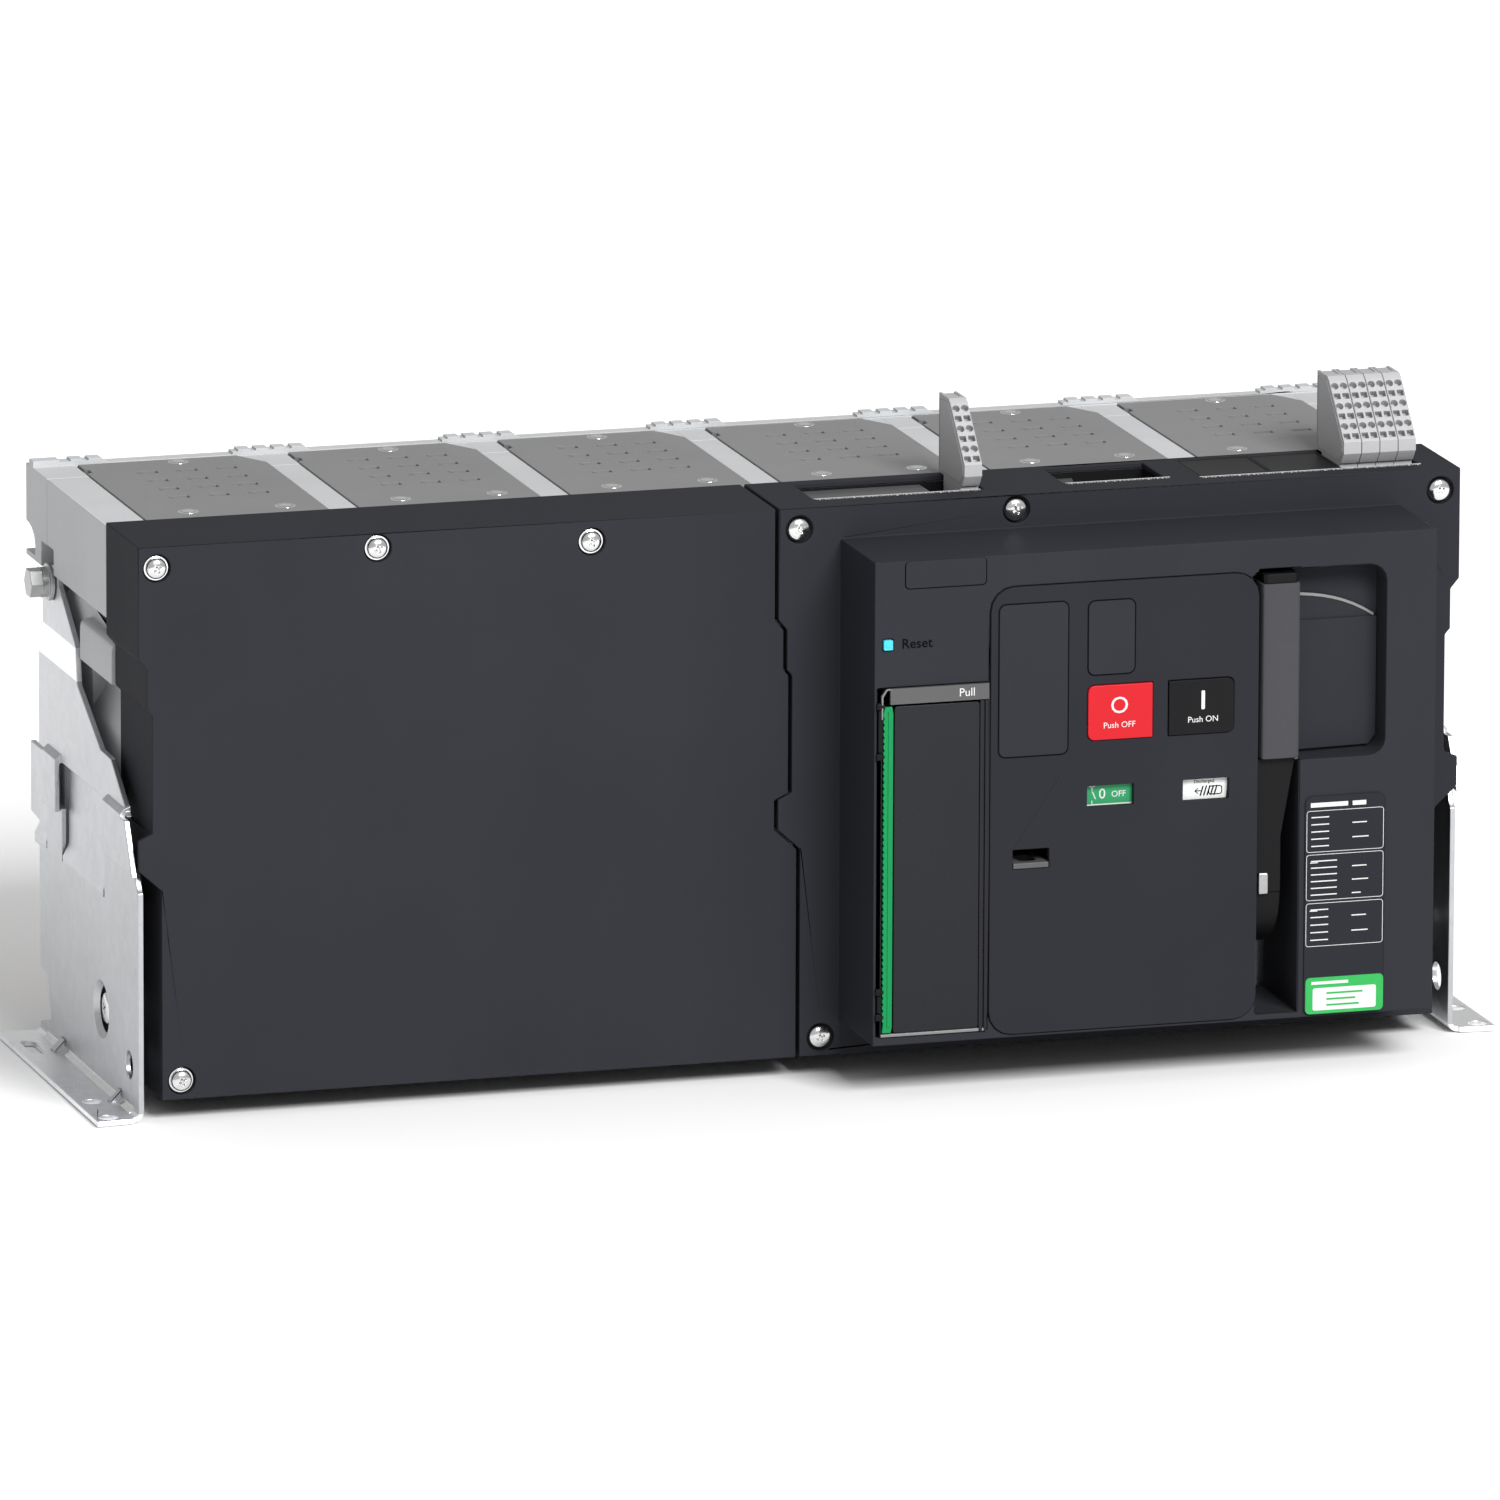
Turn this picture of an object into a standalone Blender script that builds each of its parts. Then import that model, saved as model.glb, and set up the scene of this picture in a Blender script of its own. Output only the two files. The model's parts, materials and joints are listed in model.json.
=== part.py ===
"""Air circuit breaker for fixed mounting: three doubled poles in six arc-chute cells.

Every place is given in millimetres as (x, d, z): x across the breaker from its middle,
d back from the face of the two front covers, z up from the underside of the feet.
"""

import math

import bmesh
import bpy
from mathutils import Matrix, Vector

MM = 0.001
GAP = 0.3

# Driving dimensions
CELL_PITCH = 115.0
CELLS = 6
POLES = 3
FRONT_MOST = -63.5
REAR_MOST = 233.5
MIDDLE_D = (FRONT_MOST + REAR_MOST) / 2

COVER_TOP = 306.5
COVER_BOTTOM = 11.5
COVER_DEPTH = 64.0
WALL = 3.0
SEAM_SHIFT = 346.0
SEAM_GAP = 2.0
LUG = [(150.5, 360.5), (134.5, 360.5)]
COVER_EDGE = [
    (COVER_TOP, 360.5), (247.0, 360.5), (241.5, 355.8), (220.0, 355.8), (217.0, 353.0),
    (154.0, 353.0), *LUG, (123.5, 348.3), (COVER_BOTTOM, 348.3),
]

FACE_D = -61.2
FACE_X = (19.0, 327.0)
FACE_Z = (30.0, 288.5)
PANEL_X = (81.8, 229.3)
PANEL_Z = (31.5, 271.5)
PANEL_PROUD = 1.0
PANEL_THICK = 3.5
PANEL_CORNER = 13.0
DOOR_X = (20.5, 81.2)
DOOR_Z = (34.5, 221.5)
SLOT_X = (229.0, 252.5)
SLOT_Z = (33.0, 272.5)
POCKET_X = (252.5, 299.5)
POCKET_Z = (169.0, 271.5)
POCKET_DEPTH = 18.0
OFF_BUTTON_X = (135.2, 170.6)
ON_BUTTON_X = (179.5, 215.3)
BUTTON_Z = (186.8, 216.0)
BUTTON_TRAVEL = 4.0
BUTTON_CORNER = 3.6
RESET_X = (23.6, 28.8)
RESET_Z = (241.6, 247.2)
CONTACT_FLAG_X = (135.3, 160.8)
CHARGE_FLAG_X = (187.9, 213.1)
FLAG_Z = (151.0, 162.3)
FLAG_TRAVEL = 12.5
PADLOCK_X = (95.0, 114.4)
PADLOCK_Z = (120.4, 130.4)
RATING_X = (255.4, 299.5)
RATING_Z = (31.0, 149.0)

SCREW_SINK = 3.5
SCREW_BORE = 7.5
SCREW_BOSS = 9.8
SCREW_PLACES = [
    (-350.3, 294.6), (-231.7, 298.3), (-116.2, 294.9), (-337.7, 21.4),
    (-3.3, 294.6), (115.3, 298.3), (349.3, 294.9), (9.3, 21.4),
]

CASE_HALF = 360.0
CASE_TOP = 304.3
CASE_BOTTOM = 12.0
CASE_D = (66.0, 186.0, 222.5)
SIDE_INSET = 10.0
TROUGH_Z = (92.0, 152.0)
SKIRT_BOTTOM = 255.0
CHUTE_HALF = 49.3
CHUTE_D = (67.5, 213.0)
CHUTE_Z = (214.0, 304.9)
CHAMBER_HALF = 43.0
CHAMBER_D = (76.0, 180.0)
RIDGE_TOP = 307.8
UPPER_Z = (183.0, 203.0)
LOWER_Z = (78.0, 98.0)

TERMINAL_TOP = 350.0
TERMINAL_WIDTH = 10.1
TERMINAL_X = [92.0, 301.3, 311.4, 321.5, 331.6]
BLANK_X = [(222.5, 260.7), (262.3, 299.3)]
BLANK_D = (20.0, 58.0)
TOP_OPENINGS = [((9.8, 102.9), (18.5, 57.0)), ((147.8, 203.0), (20.5, 58.5)), ((300.6, 342.4), (16.5, 63.2))]

SHAFT_AT = (45.0, 122.0)
CONTACT_AT = (132.0, 88.0)
CONTACT_OPEN = math.radians(10.5)
LEVER_AT = (-24.0, 98.0)
ARM_X = (230.2, 243.5)
DRUM_RADIUS = 33.0
BORE_RADIUS = 9.15

SHEET = 3.0
FOOT_OUT = 383.5
FOOT_BACK = 203.5
PLATE_IN = 354.0
PLATE_OUT = 357.5
TAB_IN = 360.8
TAB_TOP = 158.0
TAB_BOTTOM = 131.0
BEND = 6.0
JOGGLE = 2.3
JOGGLE_Z = (208.0, 224.0)
BOLT_AT = (184.0, 249.5)
DISH_AT = (77.5, 43.0)

COLOURS = {
    "cover_grey": ((0.045, 0.046, 0.054), 0.45, 0.0),
    "panel_grey": ((0.036, 0.037, 0.043), 0.5, 0.0),
    "case_grey": ((0.42, 0.43, 0.44), 0.55, 0.0),
    "chute_grey": ((0.28, 0.28, 0.28), 0.5, 0.3),
    "zinc": ((0.62, 0.63, 0.65), 0.35, 1.0),
    "steel": ((0.55, 0.55, 0.56), 0.3, 1.0),
    "copper": ((0.72, 0.45, 0.3), 0.35, 1.0),
    "grip_grey": ((0.1, 0.1, 0.105), 0.7, 0.0),
    "black": ((0.015, 0.015, 0.017), 0.5, 0.0),
    "red": ((0.82, 0.03, 0.04), 0.4, 0.0),
    "green": ((0.02, 0.35, 0.12), 0.4, 0.0),
    "cyan": ((0.1, 0.65, 0.8), 0.4, 0.0),
    "white": ((0.8, 0.8, 0.8), 0.5, 0.0),
    "window": ((0.05, 0.055, 0.06), 0.15, 0.0),
    "terminal_grey": ((0.62, 0.62, 0.62), 0.55, 0.0),
}


def collection(name):
    made = bpy.data.collections.new(name)
    bpy.context.scene.collection.children.link(made)
    return made


def clear_scene():
    for found in list(bpy.data.objects):
        bpy.data.objects.remove(found, do_unlink=True)


def material(name):
    colour, roughness, metallic = COLOURS[name]
    made = bpy.data.materials.get(name) or bpy.data.materials.new(name)
    made.use_nodes = True
    shader = made.node_tree.nodes["Principled BSDF"]
    shader.inputs["Base Color"].default_value = (*colour, 1.0)
    shader.inputs["Roughness"].default_value = roughness
    shader.inputs["Metallic"].default_value = metallic
    return made


def place(x, d, z):
    """A point of the breaker in metres, with the middle of its depth at zero."""
    return Vector((x, d - MIDDLE_D, z)) * MM


def finish_object(name, bm, finish, at=(0.0, MIDDLE_D, 0.0), smooth=False):
    """A mesh given in millimetres as (x, d, z) becomes an object whose origin is at the point `at`."""
    origin = place(*at)
    bmesh.ops.transform(bm, matrix=Matrix.Translation((0, -MIDDLE_D, 0)), verts=bm.verts)
    bmesh.ops.scale(bm, vec=(MM, MM, MM), verts=bm.verts)
    bmesh.ops.translate(bm, vec=-origin, verts=bm.verts)
    bmesh.ops.recalc_face_normals(bm, faces=bm.faces)
    mesh = bpy.data.meshes.new(name)
    bm.to_mesh(mesh)
    bm.free()
    made = bpy.data.objects.new(name, mesh)
    made.location = origin
    if finish is None:
        made.hide_render = True
        made.display_type = "WIRE"
        CUTTERS.objects.link(made)
    else:
        mesh.materials.append(material(finish))
        PARTS.objects.link(made)
    if smooth:
        mesh.shade_smooth()
        mesh.set_sharp_from_angle(angle=math.radians(35))
    return made


def box(name, x, d, z, finish=None, at=(0.0, MIDDLE_D, 0.0)):
    bm = bmesh.new()
    size = (x[1] - x[0], d[1] - d[0], z[1] - z[0])
    middle = (sum(x) / 2, sum(d) / 2, sum(z) / 2)
    bmesh.ops.create_cube(bm, size=1.0, matrix=Matrix.LocRotScale(middle, None, size))
    return finish_object(name, bm, finish, at)


TURN = {
    "x": Matrix.Rotation(math.pi / 2, 4, "Y"),
    "d": Matrix.Rotation(math.pi / 2, 4, "X"),
    "z": Matrix.Identity(4),
}


def rod(name, middle, axis, radius, length, finish=None, at=(0.0, MIDDLE_D, 0.0), sides=24, end_radius=None):
    """A round bar centred at `middle`; with an end radius it tapers towards +x, -d or +z."""
    bm = bmesh.new()
    bmesh.ops.create_cone(
        bm, cap_ends=True, segments=sides, radius1=radius, radius2=end_radius or radius,
        depth=length, matrix=Matrix.Translation(middle) @ TURN[axis],
    )
    return finish_object(name, bm, finish, at, smooth=True)


PLANES = {
    "xz": Matrix(((1, 0, 0, 0), (0, 0, -1, 0), (0, 1, 0, 0), (0, 0, 0, 1))),
    "dz": Matrix(((0, 0, 1, 0), (1, 0, 0, 0), (0, 1, 0, 0), (0, 0, 0, 1))),
    "xd": Matrix.Identity(4),
}


def prism_mesh(outline, plane, span):
    """A filled outline drawn in the named plane and carried across the span of the third direction."""
    curve = bpy.data.curves.new("outline", "CURVE")
    curve.dimensions = "2D"
    curve.fill_mode = "BOTH"
    curve.extrude = (span[1] - span[0]) / 2
    spline = curve.splines.new("POLY")
    spline.points.add(len(outline) - 1)
    for point, (u, v) in zip(spline.points, outline):
        point.co = (u, v, 0.0, 1.0)
    spline.use_cyclic_u = True
    holder = bpy.data.objects.new("outline", curve)
    bpy.context.scene.collection.objects.link(holder)
    graph = bpy.context.evaluated_depsgraph_get()
    mesh = bpy.data.meshes.new_from_object(holder.evaluated_get(graph))
    bm = bmesh.new()
    bm.from_mesh(mesh)
    bpy.data.objects.remove(holder, do_unlink=True)
    bpy.data.curves.remove(curve)
    bpy.data.meshes.remove(mesh)
    bmesh.ops.remove_doubles(bm, verts=bm.verts, dist=0.001)
    middle = (span[0] + span[1]) / 2
    side = -middle if plane == "xz" else middle
    bmesh.ops.transform(bm, matrix=PLANES[plane] @ Matrix.Translation((0, 0, side)), verts=bm.verts)
    return bm


def prism(name, outline, plane, span, finish=None, at=(0.0, MIDDLE_D, 0.0)):
    return finish_object(name, prism_mesh(outline, plane, span), finish, at)


def round_corners(u, v, radius, steps=4):
    """A rectangle's outline with a quarter circle at each corner."""
    corners = [(u[1], v[1], 0), (u[0], v[1], 1), (u[0], v[0], 2), (u[1], v[0], 3)]
    points = []
    for corner_u, corner_v, quarter in corners:
        centre_u = corner_u - math.copysign(radius, corner_u - sum(u) / 2)
        centre_v = corner_v - math.copysign(radius, corner_v - sum(v) / 2)
        for step in range(steps + 1):
            angle = (quarter + step / steps) * math.pi / 2
            points.append((centre_u + radius * math.cos(angle), centre_v + radius * math.sin(angle)))
    return points


def turned(outline, centre, angle):
    cosine, sine = math.cos(angle), math.sin(angle)
    return [
        (centre[0] + cosine * (u - centre[0]) - sine * (v - centre[1]),
         centre[1] + sine * (u - centre[0]) + cosine * (v - centre[1]))
        for u, v in outline
    ]


def combine(body, tools, operation):
    for tool in tools:
        modifier = body.modifiers.new(operation.lower(), "BOOLEAN")
        modifier.operation = operation
        modifier.solver = "EXACT"
        modifier.object = tool
    return body


def cut(body, *tools):
    return combine(body, tools, "DIFFERENCE")


def join(body, *tools):
    return combine(body, tools, "UNION")


def apart(span, gap=GAP):
    """A span drawn in by the gap at both ends."""
    return (span[0] + gap, span[1] - gap)


def both(sign, near, far):
    """A span across, mirrored to the side that the sign names."""
    return (near, far) if sign > 0 else (-far, -near)


def across(sign, outline):
    return [(sign * x, z) for x, z in outline]


# Front covers


def cover_outline(left_shift, right_sign, inset):
    """Stepped left edge, then the right edge back up: the seam repeats it, the far side mirrors it."""
    top, bottom = COVER_TOP - inset, COVER_BOTTOM + inset
    edge = [point for point in COVER_EDGE if inset == 0.0 or point not in LUG]
    points = []
    for z, half in edge:
        points.append((left_shift - half + inset, min(max(z, bottom), top)))
    for z, half in reversed(edge):
        right = half if right_sign > 0 else SEAM_SHIFT - half - SEAM_GAP
        points.append((right - inset, min(max(z, bottom), top)))
    return points


def screw_seats(cover, places, tag):
    """Sunk seat for each screw: a boss behind the front wall, a wide bore into it and a hole through it."""
    bosses, bores = [], []
    for i, (x, z) in enumerate(places):
        height = (z - SCREW_BOSS, min(z + SCREW_BOSS, COVER_TOP - 1.0))
        wide = (x - SCREW_BOSS, x + SCREW_BOSS)
        bosses.append(box(f"{tag}_boss_{i}", wide, (WALL - 1.0, SCREW_SINK + 4.5), height))
        bores.append(rod(f"{tag}_bore_{i}", (x, 0.0, z), "d", SCREW_BORE, 2 * SCREW_SINK, sides=32))
        bores.append(rod(f"{tag}_hole_{i}", (x, 4.0, z), "d", 3.0, 16.0, sides=12))
    join(cover, *bosses)
    cut(cover, *bores)


def lug_relief(side, sign):
    """The lug at the outer edge is only as deep as the cover's front wall, which frees the side plate."""
    return box(f"lug_relief_{side}", both(sign, 353.4, 366.0), (WALL, COVER_DEPTH + 1.0), (122.0, 153.6))


def seam_relief(side):
    """Behind its front stretch the wall at the seam is left out, so the case's nose runs across."""
    z = (COVER_BOTTOM + WALL, COVER_TOP - WALL)
    return box(f"seam_relief_{side}", (-24.0, 8.0), (13.0, COVER_DEPTH + 1.0), z)


def front_cover_left():
    cover = prism("front_cover_left", cover_outline(0.0, -1, 0.0), "xz", (0.0, COVER_DEPTH), "cover_grey")
    hollow = prism("cover_left_hollow", cover_outline(0.0, -1, WALL), "xz", (WALL, COVER_DEPTH + 1.0))
    cut(cover, hollow, seam_relief("left"), lug_relief("left", -1))
    screw_seats(cover, SCREW_PLACES[:4], "left")


def front_cover_right():
    shift = SEAM_SHIFT
    cover = prism("front_cover_right", cover_outline(shift, 1, 0.0), "xz", (0.0, COVER_DEPTH), "cover_grey")
    block = box("face_block", FACE_X, (FACE_D, WALL - 1.0), FACE_Z)
    join(cover, block)
    hollow = prism("cover_right_hollow", cover_outline(shift, 1, WALL), "xz", (WALL, COVER_DEPTH + 1.0))
    inside_x = (FACE_X[0] + WALL, FACE_X[1] - WALL)
    inside_z = (FACE_Z[0] + WALL, FACE_Z[1] - WALL)
    block_hollow = box("face_hollow", inside_x, (FACE_D + WALL, WALL + 1.0), inside_z)
    cut(cover, hollow, block_hollow, seam_relief("right"), lug_relief("right", 1))
    bowl_x = (SLOT_X[0] + 2.0, POCKET_X[1] + 2.0)
    bowl_d = (FACE_D + 1.0, FACE_D + POCKET_DEPTH + 2.0)
    bowl = box("pocket_bowl", bowl_x, bowl_d, (POCKET_Z[0] - 2.0, POCKET_Z[1] + 2.0))
    wall_x = (SLOT_X[1] + GAP, SLOT_X[1] + 2.5)
    slot_wall = box("slot_wall", wall_x, (FACE_D + 1.0, -2.0), (SLOT_Z[0] - 1.0, POCKET_Z[1] + 2.0))
    join(cover, bowl, slot_wall)
    pocket = prism(
        "pocket_space", round_corners((SLOT_X[0] - 6.0, POCKET_X[1]), POCKET_Z, 9.0), "xz",
        (FACE_D - 1.0, FACE_D + POCKET_DEPTH),
    )
    slot_space = box("slot_space", SLOT_X, (FACE_D - 1.0, WALL + 1.0), SLOT_Z)
    lever_way = box("lever_way", (SLOT_X[0], SLOT_X[1] + GAP), (FACE_D + 1.0, 2.0), SLOT_Z)
    panel_hole = prism(
        "panel_hole", round_corners(PANEL_X, PANEL_Z, PANEL_CORNER), "xz", (FACE_D - 1.0, FACE_D + WALL + 1.0)
    )
    door_hole = box("door_hole", DOOR_X, (FACE_D - 1.0, FACE_D + WALL + 1.0), DOOR_Z)
    reset_hole = box("reset_hole", apart(RESET_X, -GAP), (FACE_D - 1.0, FACE_D + WALL + 1.0), apart(RESET_Z, -GAP))
    openings = [
        box(f"top_opening_{i}", x, d, (COVER_TOP - WALL - 1.0, COVER_TOP + 1.0))
        for i, (x, d) in enumerate(TOP_OPENINGS)
    ]
    cut(cover, pocket, slot_space, lever_way, panel_hole, door_hole, reset_hole, *openings)
    blanks = [box(f"top_blank_{i}", x, BLANK_D, (COVER_TOP - 1.1, COVER_TOP + 1.0)) for i, x in enumerate(BLANK_X)]
    cut(cover, *blanks)
    screw_seats(cover, SCREW_PLACES[4:], "right")


def cover_screws():
    """Pan-head screw with a washer, turned as one profile and shared by all eight places."""
    shank, washer, head = 2.6, 6.8, 5.4
    seat = SCREW_SINK - GAP
    face = seat - 1.2
    profile = [
        (0.0, face - 3.2), (2.6, face - 3.1), (4.4, face - 2.3), (head, face - 1.0), (head, face), (washer, face),
        (washer, seat), (shank, seat), (shank, 22.0), (0.0, 23.0),
    ]
    for i, (x, z) in enumerate(SCREW_PLACES):
        bm = bmesh.new()
        points = [bm.verts.new((r, 0.0, -depth)) for r, depth in profile]
        for a, b in zip(points, points[1:]):
            bm.edges.new((a, b))
        bmesh.ops.scale(bm, vec=(MM, MM, MM), verts=bm.verts)
        mesh = bpy.data.meshes.new("cover_screw")
        bm.to_mesh(mesh)
        bm.free()
        mesh.materials.append(material("steel"))
        screw = bpy.data.objects.new(f"cover_screw_{i + 1}", mesh)
        screw.location = place(x, 0.0, z)
        screw.rotation_euler = (math.pi / 2, 0.0, 0.0)
        turn = screw.modifiers.new("turn", "SCREW")
        turn.steps = turn.render_steps = 16
        turn.use_merge_vertices = True
        turn.merge_threshold = 0.00001
        PARTS.objects.link(screw)


# Front panel and what works in it


def button_outline(x, side, gap=0.0):
    """A rectangle whose two corners on the given side are round."""
    x, z = apart(x, gap), apart(BUTTON_Z, gap)
    flat = x[0] if side > 0 else x[1]
    outline = round_corners(x, z, BUTTON_CORNER)
    middle = sum(x) / 2
    rounded = [point for point in outline if (point[0] - middle) * side > 0]
    if side > 0:
        first, second = rounded[:len(rounded) // 2], rounded[len(rounded) // 2:]
        return first + [(flat, z[1]), (flat, z[0])] + second
    return rounded + [(flat, z[0]), (flat, z[1])]


def control_panel():
    back = FACE_D - PANEL_PROUD + PANEL_THICK
    depth = (FACE_D - PANEL_PROUD, back)
    outline = round_corners(apart(PANEL_X), apart(PANEL_Z), PANEL_CORNER - GAP)
    panel = prism("control_panel", outline, "xz", depth, "panel_grey")
    through = (depth[0] - 1.0, depth[1] + 1.0)
    holes = [
        prism("off_hole", button_outline(OFF_BUTTON_X, -1, -GAP), "xz", through),
        prism("on_hole", button_outline(ON_BUTTON_X, 1, -GAP), "xz", through),
        box("contact_window", CONTACT_FLAG_X, through, FLAG_Z),
        box("charge_window", CHARGE_FLAG_X, through, FLAG_Z),
        box("padlock_hole", apart(PADLOCK_X, -GAP), through, apart(PADLOCK_Z, -GAP)),
    ]
    cut(panel, *holes)


def push_button(name, x, side, finish):
    """Cap through the panel with a wider flange behind it that keeps it in."""
    front = FACE_D - PANEL_PROUD - 0.8
    back = FACE_D - PANEL_PROUD + PANEL_THICK
    at = (sum(x) / 2, front, sum(BUTTON_Z) / 2)
    cap = prism(name, button_outline(x, side), "xz", (front, back + BUTTON_TRAVEL), finish, at)
    flange = box(f"{name}_flange", apart(x, -2.0), (back + GAP, back + 2.0), apart(BUTTON_Z, -2.0))
    stem = rod(f"{name}_stem", (at[0], back + 7.0, at[2]), "d", 4.0, 10.0, sides=12)
    join(cap, flange, stem)


def flag(name, x, finish):
    """Two-field plate that slides up and down behind its window."""
    back = FACE_D - PANEL_PROUD + PANEL_THICK
    z = (FLAG_Z[0] - FLAG_TRAVEL - 2.0, FLAG_Z[1] + 2.0)
    d = (back + GAP, back + 1.8)
    box(name, (x[0] - 2.0, x[1] + 2.0), d, z, finish, (sum(x) / 2, back + 1.0, z[0]))


def reset_button():
    at = (sum(RESET_X) / 2, FACE_D, sum(RESET_Z) / 2)
    button = box("reset_button", RESET_X, (FACE_D - 1.2, FACE_D + 12.0), RESET_Z, "cyan", at)
    flange = box("reset_flange", (22.5, 31.0), (FACE_D + WALL + GAP, FACE_D + WALL + 2.0), apart(RESET_Z, -1.6))
    join(button, flange)


def padlock_tab():
    """Slotted tab that pulls out of the panel to take padlock shackles."""
    tab = box(
        "padlock_tab", PADLOCK_X, (FACE_D - PANEL_PROUD, -36.0), (PADLOCK_Z[0], PADLOCK_Z[0] + 3.0), "steel",
        (sum(PADLOCK_X) / 2, FACE_D, PADLOCK_Z[0]),
    )
    eye = prism(
        "shackle_eye", round_corners((PADLOCK_X[0] + 5.0, PADLOCK_X[1] - 5.0), (FACE_D + 4.0, -44.0), 3.0), "xd",
        (PADLOCK_Z[0] - 1.0, PADLOCK_Z[0] + 4.0),
    )
    cut(tab, eye)


def control_unit():
    """Trip unit with a blank display behind a door hinged at its left edge."""
    unit_x = (DOOR_X[0] + 7.5, DOOR_X[1] - 3.0)
    box("control_unit", unit_x, (FACE_D + 4.0, -6.0), (38.5, 205.0), "black")
    hinge = (DOOR_X[0] + GAP, FACE_D - 1.0, 0.0)
    door = box("window_door", apart(DOOR_X), (FACE_D - 1.0, FACE_D + 1.5), apart(DOOR_Z), "window", hinge)
    pull = prism(
        "pull_bar", [(FACE_D - 2.2, 213.0), (FACE_D + 1.0, 213.0), (FACE_D + 1.0, 221.2), (FACE_D - 1.2, 221.2)],
        "dz", (DOOR_X[0] + 8.0, DOOR_X[1] - GAP),
    )
    join(door, pull)


def rating_plate():
    outline = round_corners(RATING_X, RATING_Z, 4.0)
    prism("rating_plate", outline, "xz", (FACE_D - 0.9, FACE_D - GAP), "black")


# Charging handle and mechanism


def charging_handle():
    """Lever that swings forward on the charging shaft; its drum fills the slot behind the arm."""
    at = (ARM_X[1], *LEVER_AT)
    d, z = LEVER_AT
    arm_outline = [
        (d - 30.0, z), (d - 33.5, z + 40.0), (-57.5, 168.0), (-57.5, 262.0), (-46.0, 262.0),
        (-42.0, 168.0), (d + 6.0, z + 26.0), (d + 20.0, z),
    ]
    arm = prism("charging_handle", arm_outline, "dz", (234.0, 247.5), "black", at)
    shoulder = [(ARM_X[0], z), (ARM_X[1], z), (ARM_X[1], 128.0), (251.0, 169.8), (ARM_X[0], 169.8)]
    beside = [(ARM_X[1], 60.0), (ARM_X[1], 128.0), (251.0, 169.8), (256.0, 169.8), (256.0, 60.0)]
    join(arm, prism("arm_shoulder", shoulder, "xz", (-57.5, -44.0)))
    cut(arm, prism("beside_arm", beside, "xz", (-80.0, 20.0)))
    drum = rod("handle_drum", (sum(ARM_X) / 2, d, z), "x", DRUM_RADIUS, ARM_X[1] - ARM_X[0], sides=32)
    bore = rod("handle_bore", (sum(ARM_X) / 2, d, z), "x", BORE_RADIUS, 40.0, sides=24)
    join(arm, drum)
    cut(arm, bore)
    grip = box("handle_grip", (231.0, 251.8), (-62.3, -47.0), (170.5, 269.5), "grip_grey", at)
    socket = box("grip_socket", (233.7, 247.8), (-57.8, -38.0), (165.0, 262.4))
    cut(grip, socket)


def mechanism():
    """Side frames, charging shaft with its cam and ratchet, and the closing spring."""
    d, z = LEVER_AT
    frame = box("mechanism_frame", (100.0, 222.0), (-34.0, 13.7), (45.0, 262.0), "zinc")
    inside = box("frame_inside", (103.0, 219.0), (-35.0, 10.7), (44.0, 263.0))
    bearing = rod("frame_bearing", (160.0, d, z), "x", BORE_RADIUS, 200.0, sides=24)
    base = box("frame_base", (102.0, 220.0), (-34.0, 12.0), (45.0, 48.0))
    cut(frame, inside, bearing)
    join(frame, base)
    at = (0.0, d, z)
    shaft = rod("charging_shaft", (172.0, d, z), "x", 9.0, 140.0, "steel", at, sides=24)
    cam_outline = [
        (d + (22.0 + 6.0 * math.cos(turn)) * math.cos(turn), z + (22.0 + 6.0 * math.cos(turn)) * math.sin(turn))
        for turn in (2 * math.pi * step / 24 for step in range(24))
    ]
    cam = prism("closing_cam", cam_outline, "dz", (150.0, 160.0))
    join(shaft, cam)
    teeth = 18
    wheel_outline = []
    for step in range(teeth):
        start = 2 * math.pi * step / teeth
        for part, radius in ((0.0, 25.0), (0.85, 21.5)):
            angle = start + part * 2 * math.pi / teeth
            wheel_outline.append((d + radius * math.cos(angle), z + radius * math.sin(angle)))
    wheel = prism("ratchet_wheel", wheel_outline, "dz", (206.0, 214.0), "steel", at)
    cut(wheel, rod("ratchet_bore", (210.0, d, z), "x", 9.3, 20.0, sides=24))
    spring_coil("closing_spring", (126.0, -16.0), (128.0, 228.0), 13.0, 2.2, 7)


def spring_coil(name, centre, z, radius, wire, turns):
    curve = bpy.data.curves.new(name, "CURVE")
    curve.dimensions = "3D"
    curve.bevel_depth = wire * MM
    curve.bevel_resolution = 1
    curve.use_fill_caps = True
    spline = curve.splines.new("POLY")
    steps = turns * 12
    spline.points.add(steps)
    for step, point in enumerate(spline.points):
        turn = 2 * math.pi * step / 12
        height = z[0] + (z[1] - z[0]) * step / steps
        spot = place(centre[0] + radius * math.cos(turn), centre[1] + radius * math.sin(turn), height)
        point.co = (*spot, 1.0)
    made = bpy.data.objects.new(name, curve)
    curve.materials.append(material("steel"))
    PARTS.objects.link(made)


# Case, arc chutes and contacts


def cell_middles():
    return [CELL_PITCH * (i - (CELLS - 1) / 2) for i in range(CELLS)]


def pole_middles():
    return [2 * CELL_PITCH * (i - (POLES - 1) / 2) for i in range(POLES)]


def cell_cutters(tag):
    """The chute pocket and the contact chamber below it, once for each cell."""
    made = []
    for i, middle in enumerate(cell_middles()):
        wide = (middle - CHUTE_HALF - GAP, middle + CHUTE_HALF + GAP)
        narrow = (middle - CHAMBER_HALF, middle + CHAMBER_HALF)
        chute_d = (CHUTE_D[0] - GAP, CHUTE_D[1] + GAP)
        made.append(box(f"{tag}_pocket_{i}", wide, chute_d, (CHUTE_Z[0] - GAP, CASE_TOP + 5.0)))
        made.append(box(f"{tag}_chamber_{i}", narrow, CHAMBER_D, (32.0, CHUTE_Z[0] + 1.0)))
    return made


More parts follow.
